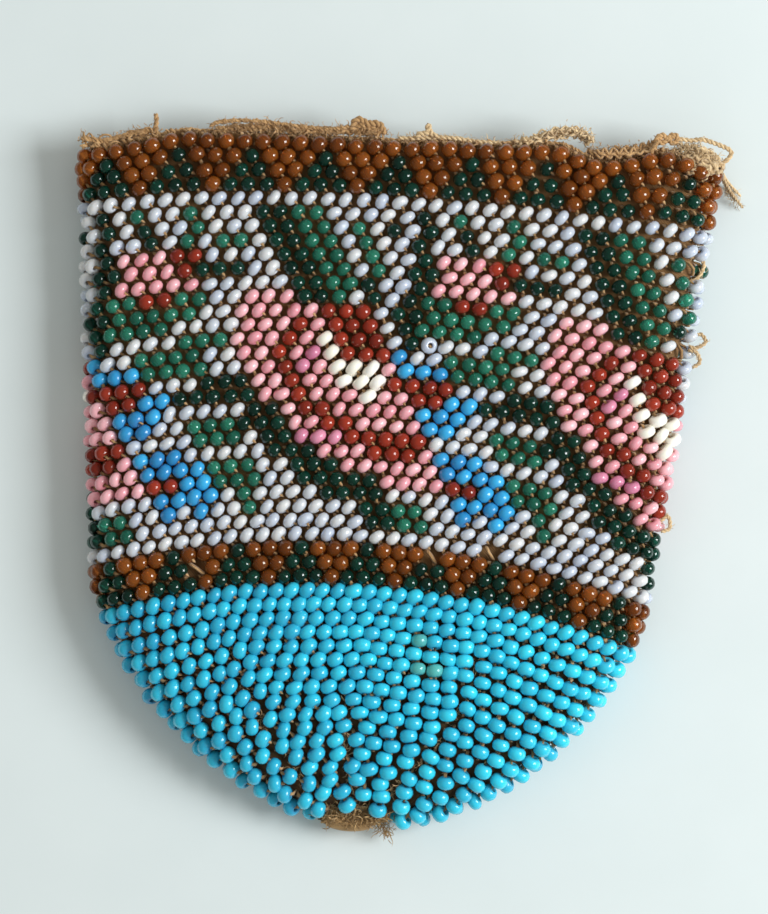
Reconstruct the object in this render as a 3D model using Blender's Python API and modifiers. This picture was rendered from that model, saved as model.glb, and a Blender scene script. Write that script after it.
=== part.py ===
"""A small beaded reticule, lying on its back with its mouth towards +Y.

The bag is a flat knitted pouch of thread with one round of glass beads on every row.
Seen from above it is a straight body that flares to the mouth, and a round base that
closes in eight sectors and hangs a little fuller on its right. Each round of strung
beads is a sub-part of its own here: one closed ridge just outside the pouch, whose crest
swells once for every two beads and whose faces carry the colours of its beads. They make
two borders of triangles, a floral field that repeats four times and a plain base.

Everything is placed on one surface through the middle of the beads. A place on it is
a row, counted down from the mouth, and a station round the bag: 0 is the left fold,
1 the right fold and 2 the left fold again, with the front between 0 and 1.
Lengths are in metres, and the origin is under the middle of the bag.
"""
import math

import bmesh
import bpy
import numpy as np
from mathutils import Vector

MM = 0.001

# Outline, seen from above
MOUTH_WIDTH = 93.1 * MM
BODY_WIDTH = 80.9 * MM
SIDE_SHIFT = 0.5 * MM
BODY_LENGTH = 61.3 * MM
BASE_LENGTH = 35.6 * MM
BASE_SHOULDER = 1.6
BASE_POINT_LEFT = 0.6
BASE_POINT_RIGHT = 0.49

# Beads and rows
BEAD_SIZE = 2.1 * MM
BODY_ROWS = 32
BASE_ROWS = 17
BEADS_ROUND = 72
SECTORS = 8
DECREASE = 0.47
ROW_LEAN = 0.42
MOUTH_FOLD_DROP = 3.56 * MM
BASE_START_DROP = 2.06 * MM
BASE_START_FOLD_DROP = 8.37 * MM
CORNER_PULL = 3.4 * MM
CORNER_PULL_ROWS = 12
CLOSING_HEIGHT = 1.07 * MM
CLOSING_FOLD_HEIGHT = 0.57 * MM
SECTOR_DROP = 0.18
RIDGE_SHARE = 0.4
RIDGE_FLAT = 0.6 * MM
SWELL_BEADS = 2
SWELL_DEPTH = 0.8 * MM
RESTING_ROWS = (0, 16, 32, 41)

# Section through the bag
BAG_THICKNESS = 10.5 * MM
BASE_THICKNESS = 6.4 * MM
TAPER_ROW = 38
FOLD_RADIUS = 2.05 * MM
GROUND_THICKNESS = 0.5 * MM
CLEARANCE = 0.3 * MM

# Rows of the colour chart
TOP_ROW = 0
UPPER_BAND = (1, 3)
FIELD = (4, 28)
LOWER_BAND = (29, 31)
BAND_REPEAT = 4
UPPER_BAND_SHIFT = 6.1
LOWER_BAND_SHIFT = 1.6
FIELD_REPEAT = 18
FIELD_SHIFT = 8.8

# Raw edge, loose threads and the mend at the base
EDGE_RISE = 0.7
STRIP_STATIONS = (0.31, 0.485)
STUB_STATION = 0.215
KNOT_STATIONS = (0.795, 0.835)
TAIL_STATION = 0.875
CORD_SIZE = 0.8 * MM
STRIP_SIZE = 1.1 * MM
TAIL_SIZE = 0.7 * MM
KNOT_SIZE = 2.0 * MM
STUB_LENGTH = 1.5 * MM
PATCH_SIZE = (8.6 * MM, 2.0 * MM, 3.4 * MM)
TUFT_SIZE = 0.7 * MM

# How finely the surface is cut
FOLD_SHARE = 0.2
FOLD_STEPS = 3
FLAT_STEPS = 7
LONGEST_STRETCH = 1.6
GROUND_ROWS = (10, 20, 31, 33, 35, 37, 39, 41, 43, 45, 47, 48.6)
STEP = 0.02

# The flowers of one repeat as outlines, in bead columns and rows: (colour, outline)
FLOWERS = (
    ("dark_green", ((10.0, 4.5), (12.2, 4.5), (14.4, 11.5), (12.4, 11.5))),
    ("light_green", ((12.2, 4.5), (13.3, 4.5), (16.3, 10.4), (14.5, 11.5))),
    ("dark_green", ((19.4, 4.5), (20.4, 4.5), (19.7, 14.5), (18.7, 14.5))),
    ("light_green", ((19.8, 10.5), (25.8, 10.5), (23.6, 13.5), (19.8, 13.5))),
    ("pink", ((20.5, 7.5), (24.6, 7.5), (25.3, 10.5), (20.4, 10.5))),
    ("light_green", ((20.8, 14.5), (24.4, 14.5), (26.1, 16.5), (22.3, 16.5))),
    ("dark_green", ((25.6, 16.5), (28.4, 16.5), (27.1, 18.5), (23.1, 18.5))),
    ("light_green", ((23.8, 19.5), (26.7, 19.5), (28.4, 24.5), (26.0, 24.5))),
    ("dark_green", ((10.0, 18.5), (12.2, 19.5), (21.0, 25.5), (17.5, 26.5), (12.0, 23.0))),
    ("pink", ((10.4, 10.5), (17.2, 11.5), (20.0, 19.5), (22.3, 24.5), (18.6, 24.5),
              (13.9, 22.3), (11.0, 19.3), (9.2, 14.5))),
    ("red", ((13.9, 11.5), (16.2, 11.5), (18.3, 15.5), (15.4, 15.5))),
    ("red", ((15.8, 20.5), (21.0, 20.5), (20.4, 22.5), (17.3, 22.5))),
    ("cream", ((14.0, 13.5), (17.9, 15.5), (17.7, 18.5), (15.0, 17.0))),
    ("blue", ((18.9, 15.5), (21.7, 15.5), (22.8, 19.5), (20.9, 19.5))),
    ("blue", ((21.6, 21.5), (24.4, 21.5), (25.8, 25.5), (23.4, 25.5))),
)

COLOURS = {
    "brown": (0.30, 0.09, 0.02),
    "dark_green": (0.01, 0.05, 0.03),
    "light_green": (0.02, 0.16, 0.09),
    "opal": (0.62, 0.68, 0.82),
    "pink": (0.83, 0.32, 0.31),
    "red": (0.30, 0.03, 0.02),
    "cream": (0.92, 0.88, 0.72),
    "blue": (0.03, 0.32, 0.74),
    "turquoise": (0.02, 0.38, 0.62),
    "thread": (0.42, 0.27, 0.13),
    "brown_fibre": (0.20, 0.11, 0.05),
}


def clear_scene():
    """Empty the scene, so that a second run starts from nothing."""
    for item in list(bpy.data.objects):
        bpy.data.objects.remove(item)


def make_material(colour, roughness):
    """One plain material for one colour of bead or thread."""
    material = bpy.data.materials.new(colour)
    material.use_nodes = True
    shader = material.node_tree.nodes["Principled BSDF"]
    shader.inputs["Base Color"].default_value = (*COLOURS[colour], 1)
    shader.inputs["Roughness"].default_value = roughness
    material.diffuse_color = (*COLOURS[colour], 1)
    return material


def half_width(height, side):
    """The bag's width across its beads from the middle to one side, -1 left or 1 right."""
    body = BODY_WIDTH / 2 + side * SIDE_SHIFT
    if height >= BASE_LENGTH:
        flare = (MOUTH_WIDTH - BODY_WIDTH) / 2 / BODY_LENGTH
        return body + (height - BASE_LENGTH) * flare
    down = min(1.0, (BASE_LENGTH - height) / BASE_LENGTH)
    point = BASE_POINT_LEFT if side < 0 else BASE_POINT_RIGHT
    return body * (1 - down ** BASE_SHOULDER) ** point


def body_row_heights(row):
    """Heights of a body row at the middle of the bag and at its folds."""
    mouth = BASE_LENGTH + BODY_LENGTH
    share = row / BODY_ROWS
    middle = mouth + (BASE_LENGTH - BASE_START_DROP - mouth) * share
    mouth_fold = mouth - MOUTH_FOLD_DROP
    return middle, mouth_fold + (BASE_LENGTH - BASE_START_FOLD_DROP - mouth_fold) * share


def base_outline(side):
    """Heights down one side of the base, and the length of its edge down to each."""
    heights = np.linspace(body_row_heights(BODY_ROWS)[1], CLOSING_FOLD_HEIGHT, 200)
    widths = [half_width(height, side) for height in heights]
    steps = np.hypot(np.diff(heights), np.diff(widths))
    return heights, np.concatenate([[0], np.cumsum(steps)])


BASE_OUTLINES = {side: base_outline(side) for side in (-1, 1)}


def row_heights(row, side):
    """Heights of any row at the middle and at one fold; base rows part evenly at both."""
    if row <= BODY_ROWS:
        return body_row_heights(row)
    share = (row - BODY_ROWS) / BASE_ROWS
    start = body_row_heights(BODY_ROWS)[0]
    middle = start + (CLOSING_HEIGHT - start) * share
    heights, edge = BASE_OUTLINES[side]
    return middle, float(np.interp(share * edge[-1], edge, heights))


def row_dip(across, row):
    """How far a row has dropped from middle to fold, 0 to 1: an arch, then an octagon."""
    arch = across ** 2
    half = 0.5
    if across < half:
        octagon = across / half * SECTOR_DROP
    else:
        octagon = SECTOR_DROP + (across - half) / half * (1 - SECTOR_DROP)
    blend = min(1.0, max(0.0, (row - BODY_ROWS + 2) / 6))
    return (1 - blend) * arch + blend * octagon


def half_thickness(row):
    """Half the bag's thickness at a row, through the middle of its beads."""
    full = (BAG_THICKNESS - BEAD_SIZE) / 2
    thin = (BASE_THICKNESS - BEAD_SIZE) / 2
    taper = BODY_ROWS + BASE_ROWS - TAPER_ROW
    share = min(1.0, max(0.0, (row - TAPER_ROW) / taper))
    return full - (full - thin) * share ** 2


def bead_surface(row, station):
    """A point on the surface through the middle of the beads."""
    front = station % 2 < 1
    along = station % 2 if front else 2 - station % 2
    side = -1 if along < 0.5 else 1
    middle, fold = row_heights(row, side)
    width = half_width(fold, side) - BEAD_SIZE / 2
    thickness = half_thickness(row)
    fold_width = min(thickness ** 2 / FOLD_RADIUS, 0.9 * width)
    into = min(along, 1 - along)
    if into < FOLD_SHARE:
        angle = math.radians(90) * into / FOLD_SHARE
        reach = width - fold_width * (1 - math.cos(angle))
        rise = thickness * math.sin(angle)
    else:
        reach = (width - fold_width) * (0.5 - into) / (0.5 - FOLD_SHARE)
        rise = thickness
    across = reach / width
    pull = CORNER_PULL * max(0.0, 1 - row / CORNER_PULL_ROWS) * max(0.0, side * across) ** 2
    y = middle - (middle - fold) * row_dip(across, row) + pull
    z = BEAD_SIZE / 2 + thickness + (rise if front else -rise)
    return Vector((side * reach, y, z))


def skin(row, station, outward):
    """A point that lies a distance outward from the bead surface."""
    round_bag = bead_surface(row, station + STEP) - bead_surface(row, station - STEP)
    down_bag = bead_surface(row + STEP, station) - bead_surface(row - STEP, station)
    normal = round_bag.cross(-down_bag).normalized()
    return bead_surface(row, station) + normal * outward


def side_stations():
    """Stations along one side, from fold to fold, close together on the folds."""
    fold = [FOLD_SHARE * step / FOLD_STEPS for step in range(FOLD_STEPS)]
    span = 1 - 2 * FOLD_SHARE
    flat = [FOLD_SHARE + span * step / FLAT_STEPS for step in range(FLAT_STEPS + 1)]
    return fold + flat + [1 - station for station in reversed(fold)]


SIDE_STATIONS = side_stations()


def loft(bm, sections, ring=False):
    """Skin a list of closed sections with the same number of points, as a ring or to a closed end."""
    loops = [[bm.verts.new(point) for point in section] for section in sections]
    count = len(sections[0])
    following = loops[1:] + ([loops[0]] if ring else [])
    faces = []
    for upper, lower in zip(loops, following):
        stretch = []
        for here in range(count):
            after = (here + 1) % count
            stretch.append(bm.faces.new((upper[here], upper[after], lower[after], lower[here])))
        faces.append(stretch)
    if not ring:
        bm.faces.new(loops[-1])
    return faces


def finish_mesh(bm, name, material, parent, collection):
    """Turn a bmesh into the named object, with its faces pointing out."""
    bmesh.ops.recalc_face_normals(bm, faces=bm.faces)
    mesh = bpy.data.meshes.new(name)
    bm.to_mesh(mesh)
    bm.free()
    return add_object(name, mesh, material, parent, collection)


def add_object(name, data, material, parent, collection):
    """Link an object for one sub-part, with its material and its parent."""
    item = bpy.data.objects.new(name, data)
    item.data.materials.append(material)
    collection.objects.link(item)
    item.parent = parent
    return item


def inside(column, row, outline):
    """Whether a bead lies inside an outline of the colour chart."""
    hit = False
    for (x1, y1), (x2, y2) in zip(outline, outline[1:] + outline[:1]):
        if (y1 > row) != (y2 > row) and column < (x2 - x1) * (row - y1) / (y2 - y1) + x1:
            hit = not hit
    return hit


def band_colour(column, depth, shift):
    """A border: green triangles that grow a bead wider with each row, on brown."""
    off_centre = abs((column - shift + BAND_REPEAT / 2) % BAND_REPEAT - BAND_REPEAT / 2)
    return "dark_green" if off_centre < depth / 2 else "brown"


def field_colour(column, row):
    """The flowers on their opal ground; a later outline covers an earlier one."""
    found = "opal"
    place = (column - FIELD_SHIFT) % FIELD_REPEAT + FIELD_SHIFT
    for colour, outline in FLOWERS:
        for repeat in (-FIELD_REPEAT, 0, FIELD_REPEAT):
            if inside(place + repeat, row, outline):
                found = colour
    return found


def bead_colour(column, row):
    """The colour of the bead at a column and a row of the chart."""
    if row == TOP_ROW:
        return "brown"
    if row <= UPPER_BAND[1]:
        return band_colour(column, row - UPPER_BAND[0] + 1, UPPER_BAND_SHIFT)
    if row <= FIELD[1]:
        return field_colour(column, row)
    if row <= LOWER_BAND[1]:
        return band_colour(column, row - LOWER_BAND[0] + 1, LOWER_BAND_SHIFT)
    return "turquoise"


def round_scale(row):
    """Stations round the bag, and the bead column that a row has at each of them."""
    stations = []
    columns = []
    per_side = BEADS_ROUND / 2
    for side in (0, 1):
        places = [side + station for station in SIDE_STATIONS]
        points = [bead_surface(row, station) for station in places]
        steps = [(b - a).length for a, b in zip(points, points[1:])]
        lengths = np.concatenate([[0], np.cumsum(steps)])
        stations += places
        columns += list(per_side * (side + lengths / lengths[-1]))
    return stations, columns


def colour_changes(row):
    """Bead columns at which the colour changes along a row."""
    lean = ROW_LEAN * row % 1
    starts = [bead + lean for bead in range(BEADS_ROUND)]
    colours = [bead_colour(start + 0.5, row) for start in starts]
    return [start for number, start in enumerate(starts) if colours[number] != colours[number - 1]]


def on_fold(station):
    """Whether a station lies on one of the two folds, their ends included."""
    return min(station % 1, 1 - station % 1) < FOLD_SHARE + STEP


def row_cuts(row):
    """Stations where a row's ridge is cut, each with the colour that follows it."""
    stations, columns = round_scale(row)
    scale = [(station, column) for station, column in zip(stations, columns) if column < BEADS_ROUND]
    cuts = [column for station, column in scale if on_fold(station)]
    for change in colour_changes(row):
        if not on_fold(float(np.interp(change, columns, stations))):
            cuts.append(change)
    for station, column in scale:
        if min(abs(column - cut) for cut in cuts) > LONGEST_STRETCH:
            cuts.append(column)
    cuts = sorted(set(cuts))
    places = [float(np.interp(cut, columns, stations)) for cut in cuts]
    following = cuts[1:] + [cuts[0] + BEADS_ROUND]
    middles = [(cut + after) / 2 % BEADS_ROUND for cut, after in zip(cuts, following)]
    return list(zip(places, [bead_colour(middle, row) for middle in middles]))


def ridge_feet(row, station):
    """The two feet of a row's ridge by the pouch, towards the mouth and the base."""
    radius = BEAD_SIZE / 2
    return skin(row - RIDGE_SHARE, station, -radius), skin(row + RIDGE_SHARE, station, -radius)


def flat_ridge(bm, row):
    """A level ridge with a flat crest, which the bag rests on; its faces and colours."""
    sections = []
    cuts = row_cuts(row)
    for station, colour in cuts:
        foot_up, foot_down = ridge_feet(row, station)
        crest = skin(row, station, BEAD_SIZE / 2)
        across = (foot_down - foot_up).normalized() * RIDGE_FLAT / 2
        sections.append([foot_up, crest - across, crest + across, foot_down])
    stretches = loft(bm, sections, ring=True)
    return [(face, colour) for faces, (station, colour) in zip(stretches, cuts) for face in faces]


def swell_count(row):
    """How many times a row's crest swells round the bag."""
    lost = max(0, round((row - BODY_ROWS) * DECREASE))
    return int((BEADS_ROUND / SECTORS - lost) * SECTORS / SWELL_BEADS)


def swelling_crest(bm, row):
    """The crest's points round the bag, high on a swell and low between two."""
    stations, columns = round_scale(row)
    count = 2 * swell_count(row)
    crest = []
    for number in range(count):
        column = (number + 0.5) / count * BEADS_ROUND
        height = BEAD_SIZE / 2 - (SWELL_DEPTH if number % 2 else 0)
        crest.append(bm.verts.new(skin(row, float(np.interp(column, columns, stations)), height)))
    return crest


def swelling_ridge(bm, row):
    """A ridge with a swelling crest on a few pairs of feet; its faces and colours."""
    crest = swelling_crest(bm, row)
    count = len(crest)
    scale = sorted(set(zip(*round_scale(row))))[:-1]
    feet = [[bm.verts.new(foot) for foot in ridge_feet(row, station)] for station, column in scale]
    tops = [int(column / BEADS_ROUND * count) for station, column in scale]
    coloured = []
    for here, (up, down) in enumerate(feet):
        after = (here + 1) % len(feet)
        next_up, next_down = feet[after]
        colour = bead_colour(scale[here][1], row)
        top = crest[tops[after]]
        coloured.append((bm.faces.new((up, down, next_down, next_up)), colour))
        coloured.append((bm.faces.new((up, next_up, top)), colour))
        coloured.append((bm.faces.new((next_down, down, top)), colour))
        for step in range((tops[after] - tops[here]) % count):
            start = (tops[here] + step) % count
            end = (start + 1) % count
            colour = bead_colour((start + 1) / count * BEADS_ROUND % BEADS_ROUND, row)
            coloured.append((bm.faces.new((up, crest[end], crest[start])), colour))
            coloured.append((bm.faces.new((down, crest[start], crest[end])), colour))
    return coloured


def make_bead_row(row, materials, parent, collection):
    """One round of strung beads, as a closed ridge whose faces show its colours."""
    bm = bmesh.new()
    coloured = flat_ridge(bm, row) if row in RESTING_ROWS else swelling_ridge(bm, row)
    used = sorted({colour for face, colour in coloured})
    for face, colour in coloured:
        face.material_index = used.index(colour)
    name = f"bead_row_{row + 1:02d}"
    item = finish_mesh(bm, name, materials[used[0]], parent, collection)
    for colour in used[1:]:
        item.data.materials.append(materials[colour])


def make_ground(materials, parent, collection):
    """The knitted pouch behind the beads: one skin, open at the mouth."""
    inward = -(BEAD_SIZE / 2 + CLEARANCE)
    stations = SIDE_STATIONS[:-1] + [1 + station for station in SIDE_STATIONS[:-1]]
    sections = []
    for row in (-EDGE_RISE, *GROUND_ROWS):
        sections.append([skin(row, station, inward) for station in stations])
    bm = bmesh.new()
    loft(bm, sections)
    ground = finish_mesh(bm, "knitted_ground", materials["thread"], parent, collection)
    wall = ground.modifiers.new("wall", "SOLIDIFY")
    wall.thickness = GROUND_THICKNESS
    wall.offset = -1
    wall.use_even_offset = True
    return ground


def make_tube(name, points, size, material, parent, collection, closed=False):
    """A thread as a curve with a round section and filled ends."""
    curve = bpy.data.curves.new(name, "CURVE")
    curve.dimensions = "3D"
    curve.bevel_depth = size / 2
    curve.bevel_resolution = 1
    curve.use_fill_caps = not closed
    spline = curve.splines.new("POLY")
    spline.points.add(len(points) - 1)
    for place, point in zip(spline.points, points):
        place.co = (*point, 1)
    spline.use_cyclic_u = closed
    return add_object(name, curve, material, parent, collection)


def make_lump(name, centre, size, material, parent, collection):
    """A knot or a matted patch: a rounded lump of the given size."""
    bm = bmesh.new()
    bmesh.ops.create_uvsphere(bm, u_segments=10, v_segments=6, radius=0.5)
    bmesh.ops.scale(bm, vec=size, verts=bm.verts)
    bmesh.ops.translate(bm, vec=centre, verts=bm.verts)
    return finish_mesh(bm, name, material, parent, collection)


def rim_point(station, rise, outward=0.0):
    """A point above the pouch's rim, a distance up from its edge."""
    inward = -(BEAD_SIZE / 2 + CLEARANCE + GROUND_THICKNESS / 2)
    edge = skin(-EDGE_RISE, station, inward + outward)
    return edge + Vector((0, rise, 0))


def make_raw_edge(materials, parent, collection):
    """The cast-on cord round the mouth, and the strip folded over its front."""
    thread = materials["thread"]
    cord_rise = CORD_SIZE / 2 + CLEARANCE
    stations = SIDE_STATIONS[:-1] + [1 + station for station in SIDE_STATIONS[:-1]]
    ring = [rim_point(station, cord_rise) for station in stations]
    make_tube("cast_on_cord", ring, CORD_SIZE, thread, parent, collection, closed=True)
    strip_rise = CORD_SIZE + 2 * CLEARANCE + STRIP_SIZE / 2
    strip = [rim_point(float(s), strip_rise) for s in np.linspace(*STRIP_STATIONS, 6)]
    make_tube("edge_strip", strip, STRIP_SIZE, thread, parent, collection)
    knot_size = Vector((1, 0.8, 0.8)) * KNOT_SIZE
    along = Vector((knot_size.x / 2 + CLEARANCE, 0, 0))
    lift = Vector((0, (knot_size.y - STRIP_SIZE) / 2, 0))
    make_lump("edge_strip_knot", strip[-1] + along + lift, knot_size, thread, parent, collection)
    stub_rise = CORD_SIZE + 2 * CLEARANCE
    stub = [rim_point(STUB_STATION, stub_rise + rise) for rise in (0, STUB_LENGTH)]
    make_tube("left_thread_end", stub, TAIL_SIZE, thread, parent, collection)


def make_corner(materials, parent, collection):
    """The knots, the loop and the loose tail at the right corner of the mouth."""
    thread = materials["thread"]
    rise = CORD_SIZE + 2 * CLEARANCE
    size = Vector((1, 1, 1)) * KNOT_SIZE
    for number, station in enumerate(KNOT_STATIONS, 1):
        centre = rim_point(station, rise + size.y / 2)
        make_lump(f"corner_knot_{number}", centre, size, thread, parent, collection)
    start = rim_point(TAIL_STATION, rise + TAIL_SIZE / 2)
    route = (
        (0, 0, 0),
        (1.6, 1.1, 0.3),
        (3.4, 1.5, 0.2),
        (5.2, 1.3, -0.4),
        (6.6, 0.5, -1.2),
        (7.4, -0.8, -2.1),
        (7.9, -2.4, -3.0),
        (7.9, -4.2, -4.0),
        (8.2, -5.9, -4.9),
    )
    points = [start + Vector(step) * MM for step in route]
    make_tube("loose_tail", points, TAIL_SIZE, thread, parent, collection)


def make_base_mend(materials, parent, collection):
    """The matted brown fibre over the closing of the base, and its tuft."""
    fibre = materials["brown_fibre"]
    last_row = GROUND_ROWS[-1]
    inward = -(BEAD_SIZE / 2 + CLEARANCE)
    lowest = min(skin(last_row, station, inward).y for station in SIDE_STATIONS)
    size = Vector(PATCH_SIZE)
    middle = BEAD_SIZE / 2 + half_thickness(last_row)
    centre = Vector((0, lowest - CLEARANCE - size.y / 2, middle))
    make_lump("base_patch", centre, size, fibre, parent, collection)
    start = centre + Vector((size.x / 2 + CLEARANCE, -size.y / 3, 0))
    tuft = [start + Vector(step) * MM for step in ((0, 0, 0), (0.6, -0.5, 0), (1.1, -1.2, -0.2))]
    make_tube("base_tuft", tuft, TUFT_SIZE, fibre, parent, collection)


def centre_on_origin(parent, collection):
    """Move the parent so that the bag's box stands centred on the origin."""
    bpy.context.view_layer.update()
    depsgraph = bpy.context.evaluated_depsgraph_get()
    points = []
    for item in collection.objects:
        if item.type == "EMPTY":
            continue
        solid = item.evaluated_get(depsgraph)
        points += [solid.matrix_world @ vertex.co for vertex in solid.to_mesh().vertices]
        solid.to_mesh_clear()
    low = Vector(map(min, zip(*points)))
    high = Vector(map(max, zip(*points)))
    parent.location = (-(low.x + high.x) / 2, -(low.y + high.y) / 2, -low.z)


def main():
    """Build the bag on an empty, then centre it over the origin."""
    clear_scene()
    collection = bpy.data.collections.new("reticule")
    bpy.context.scene.collection.children.link(collection)
    centre = bpy.data.objects.new("bag_centre", None)
    collection.objects.link(centre)
    materials = {}
    for colour in COLOURS:
        rough = 0.9 if colour in ("thread", "brown_fibre") else 0.15
        materials[colour] = make_material(colour, rough)
    make_ground(materials, centre, collection)
    for row in range(BODY_ROWS + BASE_ROWS):
        make_bead_row(row, materials, centre, collection)
    make_raw_edge(materials, centre, collection)
    make_corner(materials, centre, collection)
    make_base_mend(materials, centre, collection)
    centre_on_origin(centre, collection)


main()
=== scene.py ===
# %% [markdown]
# # A beaded reticule, dressed for its portrait
#
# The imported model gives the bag's place and size: a flat pouch of thread with 49 rounds
# of beads. Here every glass bead, every thread between them and the frayed edge of the
# mouth are made on top of it, in the same frame and in metres.

import math

import bpy
import numpy as np
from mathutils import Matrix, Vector


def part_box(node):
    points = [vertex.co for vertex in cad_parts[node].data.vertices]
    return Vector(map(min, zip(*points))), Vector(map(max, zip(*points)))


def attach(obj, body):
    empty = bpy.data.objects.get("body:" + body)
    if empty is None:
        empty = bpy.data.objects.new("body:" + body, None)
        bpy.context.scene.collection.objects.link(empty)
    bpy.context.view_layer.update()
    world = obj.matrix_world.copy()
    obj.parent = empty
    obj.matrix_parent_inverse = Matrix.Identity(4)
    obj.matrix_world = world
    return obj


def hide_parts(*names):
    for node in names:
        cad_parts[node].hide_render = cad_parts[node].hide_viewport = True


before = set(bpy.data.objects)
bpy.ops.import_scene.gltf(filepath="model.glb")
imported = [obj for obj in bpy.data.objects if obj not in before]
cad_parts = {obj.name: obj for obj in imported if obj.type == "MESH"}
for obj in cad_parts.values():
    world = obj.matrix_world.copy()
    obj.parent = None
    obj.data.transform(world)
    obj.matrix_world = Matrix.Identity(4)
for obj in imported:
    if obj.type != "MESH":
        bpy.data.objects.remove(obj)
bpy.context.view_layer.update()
MM = 0.001
print("packed nodes:", len(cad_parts))

# %% [markdown]
# ## The surface through the beads
#
# On the real bag all the beads sit on one smooth pouch. It could be modelled by hand or
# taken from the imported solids, but formulas give the place and direction of every bead
# at once, and one changed size moves them together. A place is a row, counted down from
# the mouth, and a station round the bag: 0 is the left fold, 1 the right fold, 2 the left
# fold again, and the front lies between 0 and 1. The formulas take numpy arrays, because
# thousands of beads and stitches ask for their places.

# %% Driving dimensions of the bag
MOUTH_WIDTH = 93.1 * MM
BODY_WIDTH = 80.9 * MM
SIDE_SHIFT = 0.5 * MM
BODY_LENGTH = 61.3 * MM
BASE_LENGTH = 35.6 * MM
BASE_SHOULDER = 1.6
BASE_POINT_LEFT = 0.6
BASE_POINT_RIGHT = 0.49
BEAD_SIZE = 2.1 * MM
BODY_ROWS = 32
BASE_ROWS = 17
BEADS_ROUND = 72
SECTORS = 8
ROW_LEAN = 0.42
MOUTH_FOLD_DROP = 3.56 * MM
BASE_START_DROP = 2.06 * MM
BASE_START_FOLD_DROP = 8.37 * MM
CORNER_PULL = 3.4 * MM
CORNER_PULL_ROWS = 12
CLOSING_HEIGHT = 1.07 * MM
CLOSING_FOLD_HEIGHT = 0.57 * MM
SECTOR_DROP = 0.18
BAG_THICKNESS = 10.5 * MM
BASE_THICKNESS = 6.4 * MM
TAPER_ROW = 38
FOLD_RADIUS = 2.05 * MM
FOLD_SHARE = 0.2
CLEARANCE = 0.3 * MM
bag_x, bag_y = -2.1377 * MM, -50.3074 * MM

# %% [markdown]
# ## Places read off the photograph
#
# The waves of the mouth, the frayed edge and the worn places follow no rule. They could
# be moved about by eye, but points read off the photograph put them where they are seen,
# in one scale with the camera. The bag's hanging edge is such a line of points.

# %% From pixels to places in the frame
PIXEL = 0.1425 * MM
FRAME_PIXELS = (768, 914)
BAG_ROLL = math.radians(4.2)
BAG_BOTTOM_PIXEL = (348, 826)


def photo_point(x, y, height=0.0):
    """The point in the frame that a pixel of the photograph shows, at a height."""
    right = (x - BAG_BOTTOM_PIXEL[0]) * PIXEL
    down = (y - BAG_BOTTOM_PIXEL[1]) * PIXEL
    cos, sin = math.cos(BAG_ROLL), math.sin(BAG_ROLL)
    return np.array([bag_x + right * cos + down * sin, bag_y + right * sin - down * cos, height])


# %% The uneven mouth: pixels across the photograph, and how far the edge hangs there
MOUTH_SAG = (
    (74, 6), (105, 7), (133, 4), (150, 2), (185, -4), (218, -1), (314, 2), (406, 2), (443, -1),
    (494, -2), (531, -4), (562, -5), (578, 1), (592, 6), (618, 5), (640, -2), (661, -8),
    (676, -6), (691, -2), (708, 4), (722, 4),
)
MOUTH_LINE = 150
SAG_ROWS = 1.6
sag_places = np.array([photo_point(x, MOUTH_LINE)[0] - bag_x for x, drop in MOUTH_SAG])
sag_drops = np.array([drop * PIXEL for x, drop in MOUTH_SAG])


def mouth_sag(across, rows):
    """How far the bag hangs down near its mouth, fading over the first rows."""
    fading = 1 / (1 + (np.maximum(rows, 0) / SAG_ROWS) ** 2)
    return np.interp(across, sag_places, sag_drops) * fading


print("sag of the mouth in mm, least and most:", sag_drops.min() / MM, sag_drops.max() / MM)

# %% [markdown]
# ## The outline of the bag
#
# Seen from above, the rounds of a flat bag hang in shallow arches, and those of its base
# in half octagons that end at the point. Curves drawn by hand would do for a few rounds,
# but with a formula for heights, widths and thickness a row can be asked for at any
# fraction, as the fabric behind the beads needs.


# %% Heights, widths and thicknesses
def half_width(height, side):
    """The bag's width from its middle to one side, -1 left or 1 right, at heights."""
    flare = (MOUTH_WIDTH - BODY_WIDTH) / 2 / BODY_LENGTH
    body = BODY_WIDTH / 2 + side * SIDE_SHIFT
    down = np.clip((BASE_LENGTH - height) / BASE_LENGTH, 0, 1)
    point = np.where(np.asarray(side) < 0, BASE_POINT_LEFT, BASE_POINT_RIGHT)
    base = body * (1 - down ** BASE_SHOULDER) ** point
    return np.where(height >= BASE_LENGTH, body + (height - BASE_LENGTH) * flare, base)


MOUTH = BASE_LENGTH + BODY_LENGTH
BASE_START = BASE_LENGTH - BASE_START_DROP
BASE_START_FOLD = BASE_LENGTH - BASE_START_FOLD_DROP
CURVE_STEPS = 400
BASE_HEIGHTS = np.linspace(BASE_START_FOLD, CLOSING_FOLD_HEIGHT, CURVE_STEPS)
ARCH_END, ARCH_BLEND = 2, 6


def base_edge(side):
    """Length of the base's edge down one side, to each of the base heights."""
    steps = np.hypot(np.diff(BASE_HEIGHTS), np.diff(half_width(BASE_HEIGHTS, side)))
    return np.concatenate([[0], np.cumsum(steps)])


LEFT_EDGE, RIGHT_EDGE = base_edge(-1), base_edge(1)
print("edges of the base in mm, left and right:", LEFT_EDGE[-1] / MM, RIGHT_EDGE[-1] / MM)


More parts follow.
